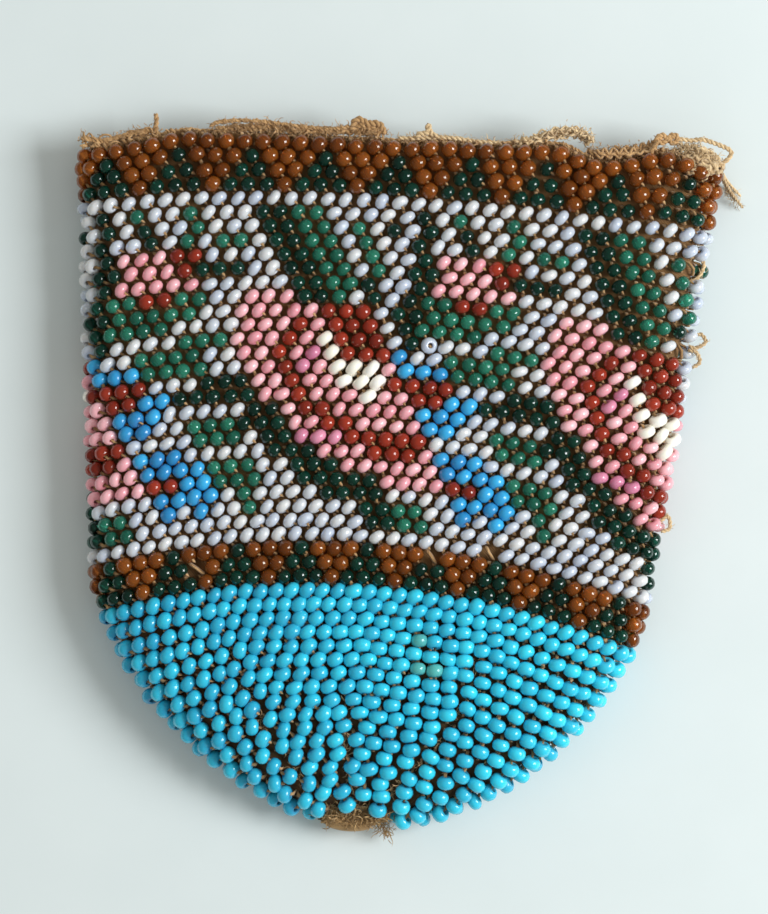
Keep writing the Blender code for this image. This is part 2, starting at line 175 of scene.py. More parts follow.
def row_heights(rows, side):
    """Heights of rows at the middle of the bag and at the fold of one side."""
    body = np.minimum(rows, BODY_ROWS) / BODY_ROWS
    below = np.clip((rows - BODY_ROWS) / BASE_ROWS, 0, 1)
    middle = MOUTH + (BASE_START - MOUTH) * body + (CLOSING_HEIGHT - BASE_START) * below
    mouth_fold = MOUTH - MOUTH_FOLD_DROP
    body_fold = mouth_fold + (BASE_START_FOLD - mouth_fold) * body
    left = np.interp(below * LEFT_EDGE[-1], LEFT_EDGE, BASE_HEIGHTS)
    right = np.interp(below * RIGHT_EDGE[-1], RIGHT_EDGE, BASE_HEIGHTS)
    base_fold = np.where(side < 0, left, right)
    return middle, np.where(rows <= BODY_ROWS, body_fold, base_fold)


def row_dip(across, rows):
    """How far a row has dropped from middle to fold: an arch, then an octagon."""
    inner = across * 2 * SECTOR_DROP
    outer = SECTOR_DROP + (across * 2 - 1) * (1 - SECTOR_DROP)
    octagon = np.where(across < 0.5, inner, outer)
    blend = np.clip((rows - BODY_ROWS + ARCH_END) / ARCH_BLEND, 0, 1)
    return (1 - blend) * across ** 2 + blend * octagon


def half_thickness(rows):
    """Half the bag's thickness through the middle of its beads."""
    full = (BAG_THICKNESS - BEAD_SIZE) / 2
    thin = (BASE_THICKNESS - BEAD_SIZE) / 2
    share = np.clip((rows - TAPER_ROW) / (BODY_ROWS + BASE_ROWS - TAPER_ROW), 0, 1)
    return full - (full - thin) * share ** 2


# %% Points and directions on the surface
FOLD_LIMIT = 0.9
LOOK_AROUND = 0.02


def bead_surface(rows, stations):
    """Points on the surface through the middle of the beads, one line each."""
    rows, stations = np.broadcast_arrays(np.asarray(rows, float), np.asarray(stations, float))
    turn = stations % 2
    front = turn < 1
    along = np.where(front, turn, 2 - turn)
    side = np.where(along < 0.5, -1.0, 1.0)
    middle, fold = row_heights(rows, side)
    width = half_width(fold, side) - BEAD_SIZE / 2
    thickness = half_thickness(rows)
    fold_width = np.minimum(thickness ** 2 / FOLD_RADIUS, FOLD_LIMIT * width)
    into = np.minimum(along, 1 - along)
    angle = np.radians(90) * np.minimum(into / FOLD_SHARE, 1)
    flat = (width - fold_width) * (0.5 - into) / (0.5 - FOLD_SHARE)
    reach = np.where(into < FOLD_SHARE, width - fold_width * (1 - np.cos(angle)), flat)
    rise = thickness * np.sin(angle)
    across = reach / width
    pull = CORNER_PULL * np.maximum(0, 1 - rows / CORNER_PULL_ROWS)
    pull = pull * np.maximum(0, side * across) ** 2
    y = middle - (middle - fold) * row_dip(across, rows) + pull - mouth_sag(side * reach, rows)
    z = BEAD_SIZE / 2 + thickness + np.where(front, rise, -rise)
    return np.stack([bag_x + side * reach, bag_y + y, z], axis=-1)


def unit(vectors):
    """Vectors of length one."""
    return vectors / np.linalg.norm(vectors, axis=-1, keepdims=True)


def directions(rows, stations):
    """Directions along the round, down the bag and outward at places on the surface."""
    before, after = stations - LOOK_AROUND, stations + LOOK_AROUND
    along = unit(bead_surface(rows, after) - bead_surface(rows, before))
    above, below = rows - LOOK_AROUND, rows + LOOK_AROUND
    down = bead_surface(below, stations) - bead_surface(above, stations)
    down = unit(down - along * np.sum(down * along, axis=-1, keepdims=True))
    return along, down, np.cross(down, along)


def skin(rows, stations, outward):
    """Points a distance outward from the surface through the beads."""
    out = directions(rows, stations)[2]
    return bead_surface(rows, stations) + out * np.asarray(outward)[..., None]


def run_length(points):
    """Length along a line of points, from its start to each of them."""
    steps = np.linalg.norm(np.diff(points, axis=0), axis=1)
    return np.concatenate([[0], np.cumsum(steps)])


def stations_of(row, shares):
    """Stations at shares of the way round a row, measured along its beads."""
    stations, lengths = [], []
    for side in (0, 1):
        fine = np.linspace(side, side + 1, CURVE_STEPS)
        fine[-1] -= 1e-9
        length = run_length(bead_surface(row, fine))
        stations.append(fine)
        lengths.append((side + length / length[-1]) / 2)
    return np.interp(shares, np.concatenate(lengths), np.concatenate(stations))


# %% [markdown]
# ## The colour chart
#
# On the real bag the beads were strung in the order of a paper chart. It could be a list
# of a colour for each bead, but a few shapes in bead columns and rows are easier to read
# and to mend: filled outlines for petals and leaves, lines for stems and scrolls. The
# chart repeats four times round the bag, between two borders of triangles that grow one
# bead wider with each row.

# %% Shapes of the flowers
COLUMN_STRETCH = 0.97
REPEAT = 18
CHART_START = 8.8
ROW_ASPECT = 0.8
FIELD_ROWS = (4, 28)
UPPER_BORDER = (1, 3, 6.11)
LOWER_BORDER = (29, 31, 1.55)
BORDER_REPEAT = 4
FILLS = (
    ("dark_green", (10.3, 4.5), (12.6, 4.5), (14.9, 11.5), (12.8, 11.5)),
    ("emerald", (12.6, 4.5), (13.7, 4.5), (15.2, 5.6), (16.8, 10.4), (15.9, 11.5), (14.8, 11.5)),
    ("emerald", (20.3, 10.5), (26.6, 10.5), (24.9, 12.5), (24.3, 13.5), (20.4, 13.5)),
    ("pink", (21.1, 7.5), (24.2, 7.5), (24.0, 9.5), (26.1, 9.5), (26.1, 10.5), (21.0, 10.5)),
    ("emerald", (21.4, 14.5), (25.2, 14.5), (26.9, 16.5), (23.0, 16.5)),
    ("dark_green", (26.4, 16.5), (29.3, 16.5), (27.9, 18.5), (23.8, 18.5)),
    ("emerald", (24.5, 19.5), (27.5, 19.5), (29.0, 21.5), (26.0, 21.5)),
    ("emerald", (25.7, 22.5), (29.6, 22.5), (29.6, 24.5), (26.8, 24.5)),
    ("pink", (10.7, 10.5), (12.9, 10.5), (13.2, 11.5), (17.7, 11.5), (18.9, 15.5), (20.7, 19.5),
     (23.0, 24.5), (19.2, 24.5), (14.3, 22.3), (11.3, 19.3), (9.8, 15.5), (9.1, 11.5)),
    ("brick", (14.3, 11.5), (16.7, 11.5), (18.3, 13.0), (18.9, 15.5), (16.0, 15.5), (15.3, 13.5)),
    ("brick", (16.3, 20.5), (21.6, 20.5), (21.0, 22.5), (17.8, 22.5)),
    ("cream", (14.3, 13.5), (15.3, 13.5), (16.0, 15.5), (18.5, 15.5), (18.8, 17.5),
     (18.2, 18.5), (17.2, 18.5), (15.6, 17.0)),
)
LINES = (
    ("emerald", 0.55, (16.8, 6), (18.2, 9)),
    ("dark_green", 0.5, (17.3, 10), (18.0, 11)),
    ("dark_green", 0.62, (20.3, 5), (20.5, 9), (19.7, 12), (19.8, 14.4)),
    ("dark_green", 0.5, (18.6, 6), (18.7, 6.1)),
    ("brick", 0.85, (24.9, 8), (25.0, 9)),
    ("brick", 0.5, (22.9, 11), (24.1, 11)),
    ("emerald", 0.5, (22.6, 5), (22.7, 5.1)),
    ("dark_green", 0.5, (22.9, 6), (23.2, 7)),
    ("emerald", 0.5, (25.7, 5), (26.0, 6), (25.4, 7)),
    ("emerald", 0.5, (27.3, 7), (28.6, 7)),
    ("dark_green", 0.5, (26.5, 9), (28.5, 9)),
    ("emerald", 0.5, (25.4, 14), (27.6, 14)),
    ("emerald", 0.5, (28.8, 25), (29.2, 26)),
    ("dark_green", 0.95, (10.8, 19), (12.1, 21), (14.3, 23.1), (17.6, 25.0), (19.0, 26.4)),
    ("emerald", 0.85, (20.2, 26.2), (21.0, 26.6)),
    ("brick", 0.55, (13.2, 13), (12.4, 15), (13.3, 18), (15.0, 19.5), (17.0, 20.9)),
    ("brick", 0.72, (19.4, 17), (21.6, 17.3), (22.0, 18)),
    ("mauve", 0.5, (13.5, 21), (15.7, 21)),
    ("mauve", 0.5, (13.6, 16), (14.2, 15)),
    ("sky", 0.55, (19.4, 15), (20.0, 16), (22.3, 16)),
    ("sky", 0.62, (23.1, 18), (23.5, 19), (22.5, 20), (21.5, 19.2)),
    ("sky", 0.55, (22.7, 22), (23.5, 23), (25.0, 23), (24.9, 22)),
    ("sky", 0.55, (25.2, 23), (25.9, 24), (26.2, 25), (26.6, 26)),
    ("sky", 0.55, (26.2, 25), (23.9, 25), (24.2, 26)),
    ("brick", 0.5, (23.5, 24), (24.7, 24)),
)
print("shapes in the chart:", len(FILLS) + len(LINES))


# %% Read the chart
def inside(column, row, outline):
    """Whether a bead lies inside an outline of the chart."""
    hit = False
    for (x1, y1), (x2, y2) in zip(outline, outline[1:] + outline[:1]):
        if (y1 > row) != (y2 > row) and column < (x2 - x1) * (row - y1) / (y2 - y1) + x1:
            hit = not hit
    return hit


def away(column, row, line):
    """Distance of a bead from a line of the chart, in bead columns."""
    place = np.array([column, row * ROW_ASPECT])
    nearest = math.inf
    for start, end in zip(line, line[1:]):
        a = np.array([start[0], start[1] * ROW_ASPECT])
        b = np.array([end[0], end[1] * ROW_ASPECT])
        share = np.clip(np.dot(place - a, b - a) / np.dot(b - a, b - a), 0, 1)
        nearest = min(nearest, float(np.linalg.norm(place - a - share * (b - a))))
    return nearest


def stretched(points):
    """Chart points with their columns brought to the width of the beads."""
    return tuple((x * COLUMN_STRETCH, y) for x, y in points)


def field_colour(column, row):
    """The flowers on their opal ground; a later shape covers an earlier one."""
    found = "opal"
    places = [(column - CHART_START) % REPEAT + CHART_START + k * REPEAT for k in (-1, 0, 1)]
    for colour, *points in FILLS:
        if any(inside(place, row, stretched(points)) for place in places):
            found = colour
    for colour, reach, *points in LINES:
        if any(away(place, row, stretched(points)) < reach for place in places):
            found = colour
    return found


def border_colour(column, row, border):
    """A border: green triangles that grow with each row, on brown."""
    first, last, shift = border
    off_centre = abs((column - shift + BORDER_REPEAT / 2) % BORDER_REPEAT - BORDER_REPEAT / 2)
    return "dark_green" if off_centre < (row - first + 1) / 2 else "brown"


def bead_colour(column, row):
    """The colour of the bead at a column and a row of the chart."""
    if row < UPPER_BORDER[0]:
        return "brown"
    if row <= UPPER_BORDER[1]:
        return border_colour(column, row, UPPER_BORDER)
    if row <= FIELD_ROWS[1]:
        return field_colour(column, row)
    if row <= LOWER_BORDER[1]:
        return border_colour(column, row, LOWER_BORDER)
    return "turquoise"


# %% [markdown]
# ## Place every bead
#
# Each round has 72 beads down to the base, where every second round loses one bead in
# each of eight sectors. A bead lies slanted on its stitch: the line of its hole points
# down and to the right, so that the bead shows as an oval that leans the other way. The
# places could come from geometry nodes, but plain rows of numbers let each bead keep its
# colour, its hole line and its flaws. Hand work is never even, so each bead gets a little
# turn, shift and change of size.

# %% Sizes of the bead kinds and how they lie
# Width across the hole and length along it in mm, fullness of the form
KINDS = {
    "brown": (2.48, 2.15, 2.3),
    "dark_green": (2.22, 1.90, 2.3),
    "emerald": (2.20, 1.85, 2.3),
    "opal": (2.45, 1.62, 2.3),
    "pink": (2.40, 1.60, 2.3),
    "mauve": (2.42, 1.75, 2.3),
    "brick": (2.30, 2.02, 2.2),
    "cream": (2.78, 1.62, 3.0),
    "sky": (2.48, 1.95, 2.5),
    "turquoise": (2.64, 2.06, 2.4),
    "teal": (2.45, 2.00, 2.4),
}
SLANT, BASE_SLANT, SLANT_SWAY = 47, 80, 8
STEEPER_FROM, STEEPER_SPAN, STEEPER_ROWS = 0.36, 0.16, 3
TIP, TIP_SWAY = 0.1, 0.14
SIDE_SWAY, OUT_SWAY = 0.05 * MM, 0.07 * MM
SIZE_SWAY, SIZE_LIMITS = 0.035, (0.9, 1.1)
SECTOR_BEADS, LOST_EACH_ROW = 9, 0.47
# The base beads' tint is part their own random tone, part painted light that grows toward the
# lamp on the right.
TINT_OWN, PAINTED_LIGHT_ACROSS = 0.45, 0.55


def beads_in(row):
    """How many beads a row has round the bag."""
    if row < BODY_ROWS:
        return BEADS_ROUND
    return SECTORS * (SECTOR_BEADS - int(round((row - BODY_ROWS) * LOST_EACH_ROW)))


def hole_slant(row, stations):
    """Angle of the hole line from the round's direction, in degrees: steeper in the base."""
    side = stations % 2
    share = np.clip((side - STEEPER_FROM) / STEEPER_SPAN, 0, 1)
    share = share * np.clip((row - BODY_ROWS) / STEEPER_ROWS, 0, 1)
    return SLANT + (BASE_SLANT - SLANT) * np.where(side < 1, share, 0.5)


def place_beads():
    """Every bead: its row, colour, centre, hole line, outward direction and size."""
    beads = []
    for row in range(BODY_ROWS + BASE_ROWS):
        count = beads_in(row)
        shares = ((np.arange(count) + 0.5 + ROW_LEAN * row) / count) % 1
        stations = stations_of(row, shares)
        centres = bead_surface(row, stations)
        along, down, out = directions(np.full(count, float(row)), stations)
        slant = hole_slant(row, stations) + rng.normal(0, SLANT_SWAY, count)
        slant = np.radians(slant)[:, None]
        tip = rng.normal(TIP, TIP_SWAY, count)[:, None]
        hole = unit(along * np.cos(slant) + down * np.sin(slant) + out * tip)
        for way, sway in ((along, SIDE_SWAY), (down, SIDE_SWAY), (out, OUT_SWAY)):
            centres = centres + way * rng.normal(0, sway, count)[:, None]
        sizes = np.clip(rng.normal(1, SIZE_SWAY, (count, 2)), *SIZE_LIMITS)
        tints_and_light = rng.random(count)
        # Painted light: across the base the beads are mixed lighter toward the lamp on the right.
        if row >= BODY_ROWS:
            place = np.clip((centres[:, 0] - bag_x) / BODY_WIDTH + 0.5, 0, 1)
            tints_and_light = TINT_OWN * tints_and_light + PAINTED_LIGHT_ACROSS * place
        for k in range(count):
            colour = bead_colour(shares[k] * BEADS_ROUND, row)
            beads.append({"row": row, "colour": colour, "centre": centres[k],
                          "hole": hole[k], "along": along[k], "out": out[k],
                          "size": sizes[k], "tint_and_light": tints_and_light[k]})
    return beads


rng = np.random.default_rng(18)
beads = place_beads()
print("beads placed:", len(beads))

# %% [markdown]
# ## Worn places
#
# A few beads have broken away and left bare thread, and one broken bead lies open like a
# ring. Where stitches were taken together in the base, the beads part along a line, and
# a few beads there come from a greener string. These marks could be modelled one by one,
# but here the bead nearest to a point of the photograph is changed in the list, so that
# it still gets its thread and its place in the round.

# %% Missing beads, an open ring and the parted lines of the base
LOST_BEADS = ((205, 570), (436, 560), (488, 553), (694, 268), (688, 345))
OPEN_RING = (432, 352)
TEAL_BEADS = ((422, 668), (437, 670), (420, 646))
PARTED_LINES = (
    ((232, 648), (262, 720), (308, 790)),
    ((345, 690), (348, 750), (352, 800)),
    ((480, 650), (447, 730), (385, 800)),
)
PARTING = 0.42 * MM
PARTING_REACH = 1.9 * MM
RING_LEAN = 0.3


def nearest_bead(x, y):
    """The front bead nearest to a pixel of the photograph."""
    spot = photo_point(x, y)[:2]
    front = [bead for bead in beads if bead["centre"][2] > BAG_THICKNESS / 2]
    return min(front, key=lambda bead: np.linalg.norm(bead["centre"][:2] - spot))


def part_beads(line):
    """Push the beads of the front base away from a line, to both sides."""
    corners = [photo_point(*corner)[:2] for corner in line]
    for bead in beads:
        if bead["row"] < BODY_ROWS + 2 or bead["out"][2] < 0:
            continue
        spot = bead["centre"][:2]
        for start, end in zip(corners, corners[1:]):
            heading = unit(end - start)
            along = np.dot(spot - start, heading)
            aside = np.array([-heading[1], heading[0]])
            off = np.dot(spot - start, aside)
            if 0 <= along < np.linalg.norm(end - start) and abs(off) < PARTING_REACH:
                push = PARTING * (1 - abs(off) / PARTING_REACH) * (1 if off > 0 else -1)
                bead["centre"][:2] += aside * push


for line in PARTED_LINES:
    part_beads(line)
for place in LOST_BEADS:
    nearest_bead(*place)["lost"] = True
for place in TEAL_BEADS:
    nearest_bead(*place)["colour"] = "teal"
ring_bead = nearest_bead(*OPEN_RING)
ring_bead["hole"] = unit(ring_bead["out"] + RING_LEAN * ring_bead["along"])
print("lost beads:", sum("lost" in bead for bead in beads))

# %% [markdown]
# ## One bead's form
#
# A seed bead is a short cut of glass tube, tumbled hot until its edges round off. Turning
# a fat rounded loop about the hole line gives that form, hole included. The same few
# points are turned, scaled and moved for each bead with numpy, which is far quicker than
# thousands of objects or a bevel on each. Each point also keeps two numbers for its
# material: the bead's own tint, which in the base also carries a painted light that grows
# toward the right, and how far the point is from the hole, which sets a painted shade near it.

# %% The bead's turned loop
ROUND_POINTS = 12
OUTER_ANGLES = np.radians([-72, -52, -27, 0, 27, 52, 72])
HOLE_RADIUS = 0.15
HOLE_REACH = 0.38
LOOP_POINTS = len(OUTER_ANGLES) + 2


def grid_quads(height, width, order, closed=False):
    """Quads of a grid that closes sideways, and if closed from last row to first too."""
    rows, columns = np.arange(height - (not closed))[:, None], np.arange(width)
    here, there, after = rows * width, (rows + 1) % height * width, (columns + 1) % width
    corners = [here + columns, here + after, there + after, there + columns]
    return np.stack([corners[place] for place in order], axis=-1).reshape(-1, 4)


def bead_loop(fullness):
    """Radius and height of points round one side of a bead, for a width and length of 1."""
    cos, sin = np.cos(OUTER_ANGLES), np.sin(OUTER_ANGLES)
    radius = 0.5 * cos ** (2 / fullness)
    height = 0.5 * np.sign(sin) * np.abs(sin) ** (2 / fullness)
    hole = [HOLE_RADIUS, HOLE_RADIUS]
    return np.append(radius, hole), np.append(height, [HOLE_REACH, -HOLE_REACH])


def bead_template(fullness):
    """Points, quads and hole-to-rim shares of a bead whose hole runs along z."""
    radius, height = bead_loop(fullness)
    turns = np.arange(ROUND_POINTS) * 2 * np.pi / ROUND_POINTS
    ring = np.stack([np.cos(turns), np.sin(turns), np.zeros_like(turns)], axis=1)
    points = (ring[:, None, :] * radius[None, :, None]).reshape(-1, 3)
    points[:, 2] = np.tile(height, ROUND_POINTS)
    rim = np.tile((radius - radius.min()) / (radius.max() - radius.min()), ROUND_POINTS)
    return points, grid_quads(ROUND_POINTS, LOOP_POINTS, (0, 3, 2, 1), True), rim


BEAD_FORMS = {colour: bead_template(kind[2]) for colour, kind in KINDS.items()}
print("triangles in a bead:", 2 * len(BEAD_FORMS["opal"][1]))

# %% [markdown]
# ## Helpers for meshes
#
# A mesh could be built face by face with bmesh, but this bag has nearly a million
# triangles. Filled from arrays with foreach_set they take a few seconds. The extra
# numbers go in as named attributes on the points, which an Attribute node reads in the
# material.

# %% Mesh helpers
THREAD_TIP = 0.35


def new_piece(name, points, faces, materials, slots=None, numbers=None):
    """A smooth mesh object from points and faces of one size, with point attributes."""
    mesh = bpy.data.meshes.new(name)
    points, faces = np.asarray(points, np.float32), np.asarray(faces, np.int32)
    sides = faces.shape[1]
    mesh.vertices.add(len(points))
    mesh.vertices.foreach_set("co", points.ravel())
    mesh.loops.add(faces.size)
    mesh.loops.foreach_set("vertex_index", faces.ravel())
    mesh.polygons.add(len(faces))
    mesh.polygons.foreach_set("loop_start", np.arange(len(faces), dtype=np.int32) * sides)
    mesh.update(calc_edges=True)
    mesh.shade_smooth()
    for material in materials:
        mesh.materials.append(material)
    if slots is not None:
        mesh.polygons.foreach_set("material_index", np.asarray(slots, np.int32))
    for key, values in (numbers or {}).items():
        attribute = mesh.attributes.new(key, "FLOAT", "POINT")
        attribute.data.foreach_set("value", np.asarray(values, np.float32))
    piece = bpy.data.objects.new(name, mesh)
    bpy.context.scene.collection.objects.link(piece)
    return piece


def tube(path, radii, sides):
    """Points and quads of a thin thread along a path, narrower at its two ends."""
    path = np.asarray(path, float)
    radii = np.broadcast_to(np.asarray(radii, float), len(path)).copy()
    radii[[0, -1]] *= THREAD_TIP
    heading = unit(np.gradient(path, axis=0))
    helper = np.array([0.0, 0.0, 1.0])
    if np.abs(heading @ helper).max() > 0.95:
        helper = unit(np.array([0.31, 0.87, 0.12]))
    first = unit(np.cross(heading, helper))
    second = np.cross(heading, first)
    turns = np.arange(sides) * 2 * np.pi / sides
    ring = first[:, None] * np.cos(turns)[:, None] + second[:, None] * np.sin(turns)[:, None]
    points = (path[:, None] + ring * radii[:, None, None]).reshape(-1, 3)
    return points, grid_quads(len(path), sides, (0, 1, 2, 3))


class Bundle:
    """Threads gathered into one mesh, with a random shade for each."""

    def __init__(self):
        self.points, self.quads, self.shades, self.size = [], [], [], 0

    def add(self, path, radii, shade, sides):
        """One more thread."""
        points, quads = tube(path, radii, sides)
        self.points.append(points)
        self.quads.append(quads + self.size)
        self.shades.append(np.full(len(points), shade))
        self.size += len(points)

    def piece(self, name, material):
        """All the threads as one mesh object."""
        return new_piece(name, np.concatenate(self.points), np.concatenate(self.quads),
                         [material], numbers={"shade": np.concatenate(self.shades)})


def settle(piece, slot_name, *nodes):
    """Let a piece ride with the bag and stand for its solids; slot_name is not used."""
    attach(piece, "root")
    if nodes:
        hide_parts(*nodes)


# %% [markdown]
# ## Node groups for what the materials share
#
# Every kind of glass varies in the same way: each bead has its own tint, and in the base a
# painted light toward the right is added to it; a painted shade darkens the glass near the
# hole and lightens it toward the rim; and old beads carry a film of dust and fine scratches.
# Every thread is twisted and fuzzy. Each effect could be built again in every material, but
# as one node group it is built once and gets its own values in each. The shaders themselves
# stay outside, in the material.

# %% Colours as they look on screen
def srgb(red, green, blue):
    """A colour given in 0 to 255 as it looks on screen, in Blender's linear values."""
    values = np.array([red, green, blue]) / 255
    linear = np.where(values <= 0.04045, values / 12.92, ((values + 0.055) / 1.055) ** 2.4)
    return (*linear.tolist(), 1.0)


def new_group(name, inputs):
    """A shader group with inputs (name, kind, default) that puts out a surface's looks."""
    group = bpy.data.node_groups.new(name, "ShaderNodeTree")
    for label, kind, value in inputs:
        socket = group.interface.new_socket(label, in_out="INPUT", socket_type=kind)
        socket.default_value = value
    for label, kind in (("Color", "NodeSocketColor"), ("Roughness", "NodeSocketFloat"),
                        ("Normal", "NodeSocketVector")):
        group.interface.new_socket(label, in_out="OUTPUT", socket_type=kind)
    return group, group.nodes.new("NodeGroupInput"), group.nodes.new("NodeGroupOutput")


def feed(tree, node, values):
    """Give a node's inputs plain values, or links from other nodes' outputs."""
    for label, value in values.items():
        if isinstance(value, bpy.types.NodeSocket):
            tree.links.new(value, node.inputs[label])
        else:
            node.inputs[label].default_value = value


def put(tree, kind, inputs=None, **settings):
    """A new node in a tree, with its settings and its inputs."""
    node = tree.nodes.new(kind)
    for key, value in settings.items():
        setattr(node, key, value)
    feed(tree, node, inputs or {})
    return node


def math_node(tree, operation, first, second):
    """A Math node; each side is a socket or a number."""
    return put(tree, "ShaderNodeMath", {0: first, 1: second}, operation=operation).outputs[0]


def weighed(tree, *parts):
    """The sum of (socket, weight) parts."""
    total = None
    for socket, weight in parts:
        part = math_node(tree, "MULTIPLY", socket, weight)
        total = part if total is None else math_node(tree, "ADD", total, part)
    return total


def mix_colour(tree, share, first, second):
    """A colour Mix node; each argument is a socket or a plain value."""
    sides = {0: share, 6: first, 7: second}
    return put(tree, "ShaderNodeMix", sides, data_type="RGBA").outputs[2]


def object_place(tree):
    """The place of a point on the object, for textures that stay with it."""
    return put(tree, "ShaderNodeTexCoord").outputs["Object"]


def noise(tree, scale, detail):
    """A noise texture in object space, in its 0 to 1 value."""
    inputs = {"Scale": scale, "Detail": detail, "Vector": object_place(tree)}
    return put(tree, "ShaderNodeTexNoise", inputs).outputs["Fac"]


def point_number(tree, name):
    """A number that the mesh keeps at its points."""
    return put(tree, "ShaderNodeAttribute", attribute_name=name).outputs["Fac"]


def put_out(tree, made, colour, rough, height, strength, depth):
    """Send a colour, a roughness and the normal of a bump out of a group."""
    relief = {"Strength": strength, "Distance": depth, "Height": height}
    normal = put(tree, "ShaderNodeBump", relief).outputs["Normal"]
    feed(tree, made, {"Color": colour, "Roughness": rough, "Normal": normal})


# %% The glass of a bead
def glass_group():
    """Colour, roughness and normal of tumbled glass: each bead's own tone and painted light, and
    a painted shade near the hole.
    """
    tree, given, made = new_group("bead glass", [
        ("Deep", "NodeSocketColor", (0, 0, 0, 1)), ("Clear", "NodeSocketColor", (1, 1, 1, 1)),
        ("Dust", "NodeSocketColor", (1, 1, 1, 1)), ("Dust Amount", "NodeSocketFloat", 0.2),
        ("Smoothness", "NodeSocketFloat", 0.1)])
    rim = point_number(tree, "rim")
    # Painted shade: near the hole the glass is mixed toward Deep, toward the rim toward Clear.
    lit = weighed(tree, (rim, 0.3), (point_number(tree, "tint_and_light"), 0.65),
                  (noise(tree, 900, 2), 0.2))
    body = mix_colour(tree, lit, given.outputs["Deep"], given.outputs["Clear"])
    film = math_node(tree, "MULTIPLY", noise(tree, 260, 4), given.outputs["Dust Amount"])
    hollow = math_node(tree, "SUBTRACT", 1.0, rim)
    film = math_node(tree, "MULTIPLY", film, math_node(tree, "ADD", hollow, 0.25))
    colour = mix_colour(tree, film, body, given.outputs["Dust"])
    rough = math_node(tree, "MULTIPLY", noise(tree, 1500, 3), 0.16)
    rough = math_node(tree, "ADD", rough, given.outputs["Smoothness"])
    put_out(tree, made, colour, rough, noise(tree, 1400, 2), 0.25, 0.03 * MM)
    return tree


# %% The fibre of a thread
def thread_group():
    """Colour, roughness and normal of old twisted thread, from each thread's shade."""
    tree, given, made = new_group("old thread", [
        ("Dark", "NodeSocketColor", (0, 0, 0, 1)), ("Light", "NodeSocketColor", (1, 1, 1, 1)),
        ("Twist", "NodeSocketFloat", 2500.0), ("Relief", "NodeSocketFloat", 0.6)])
    ply = put(tree, "ShaderNodeTexWave", {
        "Vector": object_place(tree), "Scale": given.outputs["Twist"], "Distortion": 3.0,
        "Detail": 3.0}, bands_direction="DIAGONAL").outputs["Fac"]
    lit = weighed(tree, (point_number(tree, "shade"), 0.5), (ply, 0.12),
                  (noise(tree, 700, 4), 0.55))
    colour = mix_colour(tree, lit, given.outputs["Dark"], given.outputs["Light"])
    rough = math_node(tree, "ADD", math_node(tree, "MULTIPLY", ply, 0.15), 0.75)
    put_out(tree, made, colour, rough, ply, given.outputs["Relief"], 0.08 * MM)
    return tree


GLASS = glass_group()
THREAD = thread_group()
print("node groups:", GLASS.name, "and", THREAD.name)


# %% Materials from the groups
def new_material(name, group, values, plain):
    """A material whose Principled BSDF takes a group's outputs and some plain values."""
    material = bpy.data.materials.new(name)
    material.use_nodes = True
    tree = material.node_tree
    effect = put(tree, "ShaderNodeGroup", values, node_tree=group).outputs
    looks = {"Base Color": effect["Color"], "Roughness": effect["Roughness"],
             "Normal": effect["Normal"], **plain}
    feed(tree, tree.nodes["Principled BSDF"], looks)
    return material


# Deep and clear colour, also the shaded and lit ends of the painted shading; milkiness,
# clearness, dust, roughness
GLASSES = {
    "brown": ((120, 52, 8), (216, 124, 44), 0.0, 0.7, 0.1, 0.04),
    "dark_green": ((2, 40, 34), (22, 106, 86), 0.0, 0.75, 0.06, 0.03),
    "emerald": ((8, 104, 86), (76, 200, 166), 0.0, 0.7, 0.08, 0.03),
    "opal": ((196, 214, 244), (250, 253, 255), 0.35, 0.28, 0.1, 0.06),
    "pink": ((214, 124, 142), (252, 196, 204), 0.4, 0.0, 0.16, 0.18),
    "mauve": ((186, 100, 140), (232, 156, 184), 0.4, 0.0, 0.16, 0.18),
    "brick": ((104, 20, 14), (196, 68, 46), 0.0, 0.4, 0.1, 0.05),
    "cream": ((240, 236, 220), (255, 253, 244), 0.3, 0.0, 0.12, 0.18),
    "sky": ((8, 92, 164), (56, 182, 238), 0.3, 0.0, 0.12, 0.16),
    "turquoise": ((8, 106, 170), (56, 224, 250), 0.3, 0.0, 0.1, 0.14),
    "teal": ((28, 124, 136), (96, 204, 200), 0.3, 0.0, 0.15, 0.16),
}
DUST = srgb(188, 160, 124)
MILK_REACH = (1.0, 0.9, 0.8)
# Dark and light colour, twist, relief, sheen
THREADS = {
    "tan thread": ((132, 92, 50), (224, 182, 128), 2500.0, 0.6, 0.3),
    # The ground thread's near-black dark end is partly painted shade, for the gaps between the
    # beads.
    "ground thread": ((38, 25, 15), (168, 126, 80), 1800.0, 0.8, 0.2),
    "frayed fibre": ((132, 92, 50), (255, 228, 180), 3000.0, 0.4, 0.4),
    "brown fibre": ((104, 72, 38), (228, 188, 130), 1500.0, 0.9, 0.2),
}


def glass_material(colour):
    """The glass of one colour of bead."""
    deep, clear, milk, clarity, dust, roughness = GLASSES[colour]
    return new_material(f"{colour} glass", GLASS, {
        "Deep": srgb(*deep), "Clear": srgb(*clear), "Dust": DUST, "Dust Amount": dust,
        "Smoothness": roughness,
    }, {
        "IOR": 1.52, "Transmission Weight": clarity, "Coat Weight": 0.35,
        "Subsurface Weight": milk, "Subsurface Radius": MILK_REACH,
        "Subsurface Scale": 0.5 * MM,
    })


def thread_material(name):
    """A thread of one colour."""
    dark, light, twist, relief, sheen = THREADS[name]
    return new_material(name, THREAD, {
        "Dark": srgb(*dark), "Light": srgb(*light), "Twist": twist, "Relief": relief,
    }, {"Sheen Weight": sheen, "Specular IOR Level": 0.2})


glasses = {colour: glass_material(colour) for colour in GLASSES}
tan_thread, ground_thread, fray_fibre, brown_fibre = map(thread_material, THREADS)
print("materials:", len(glasses) + len(THREADS))

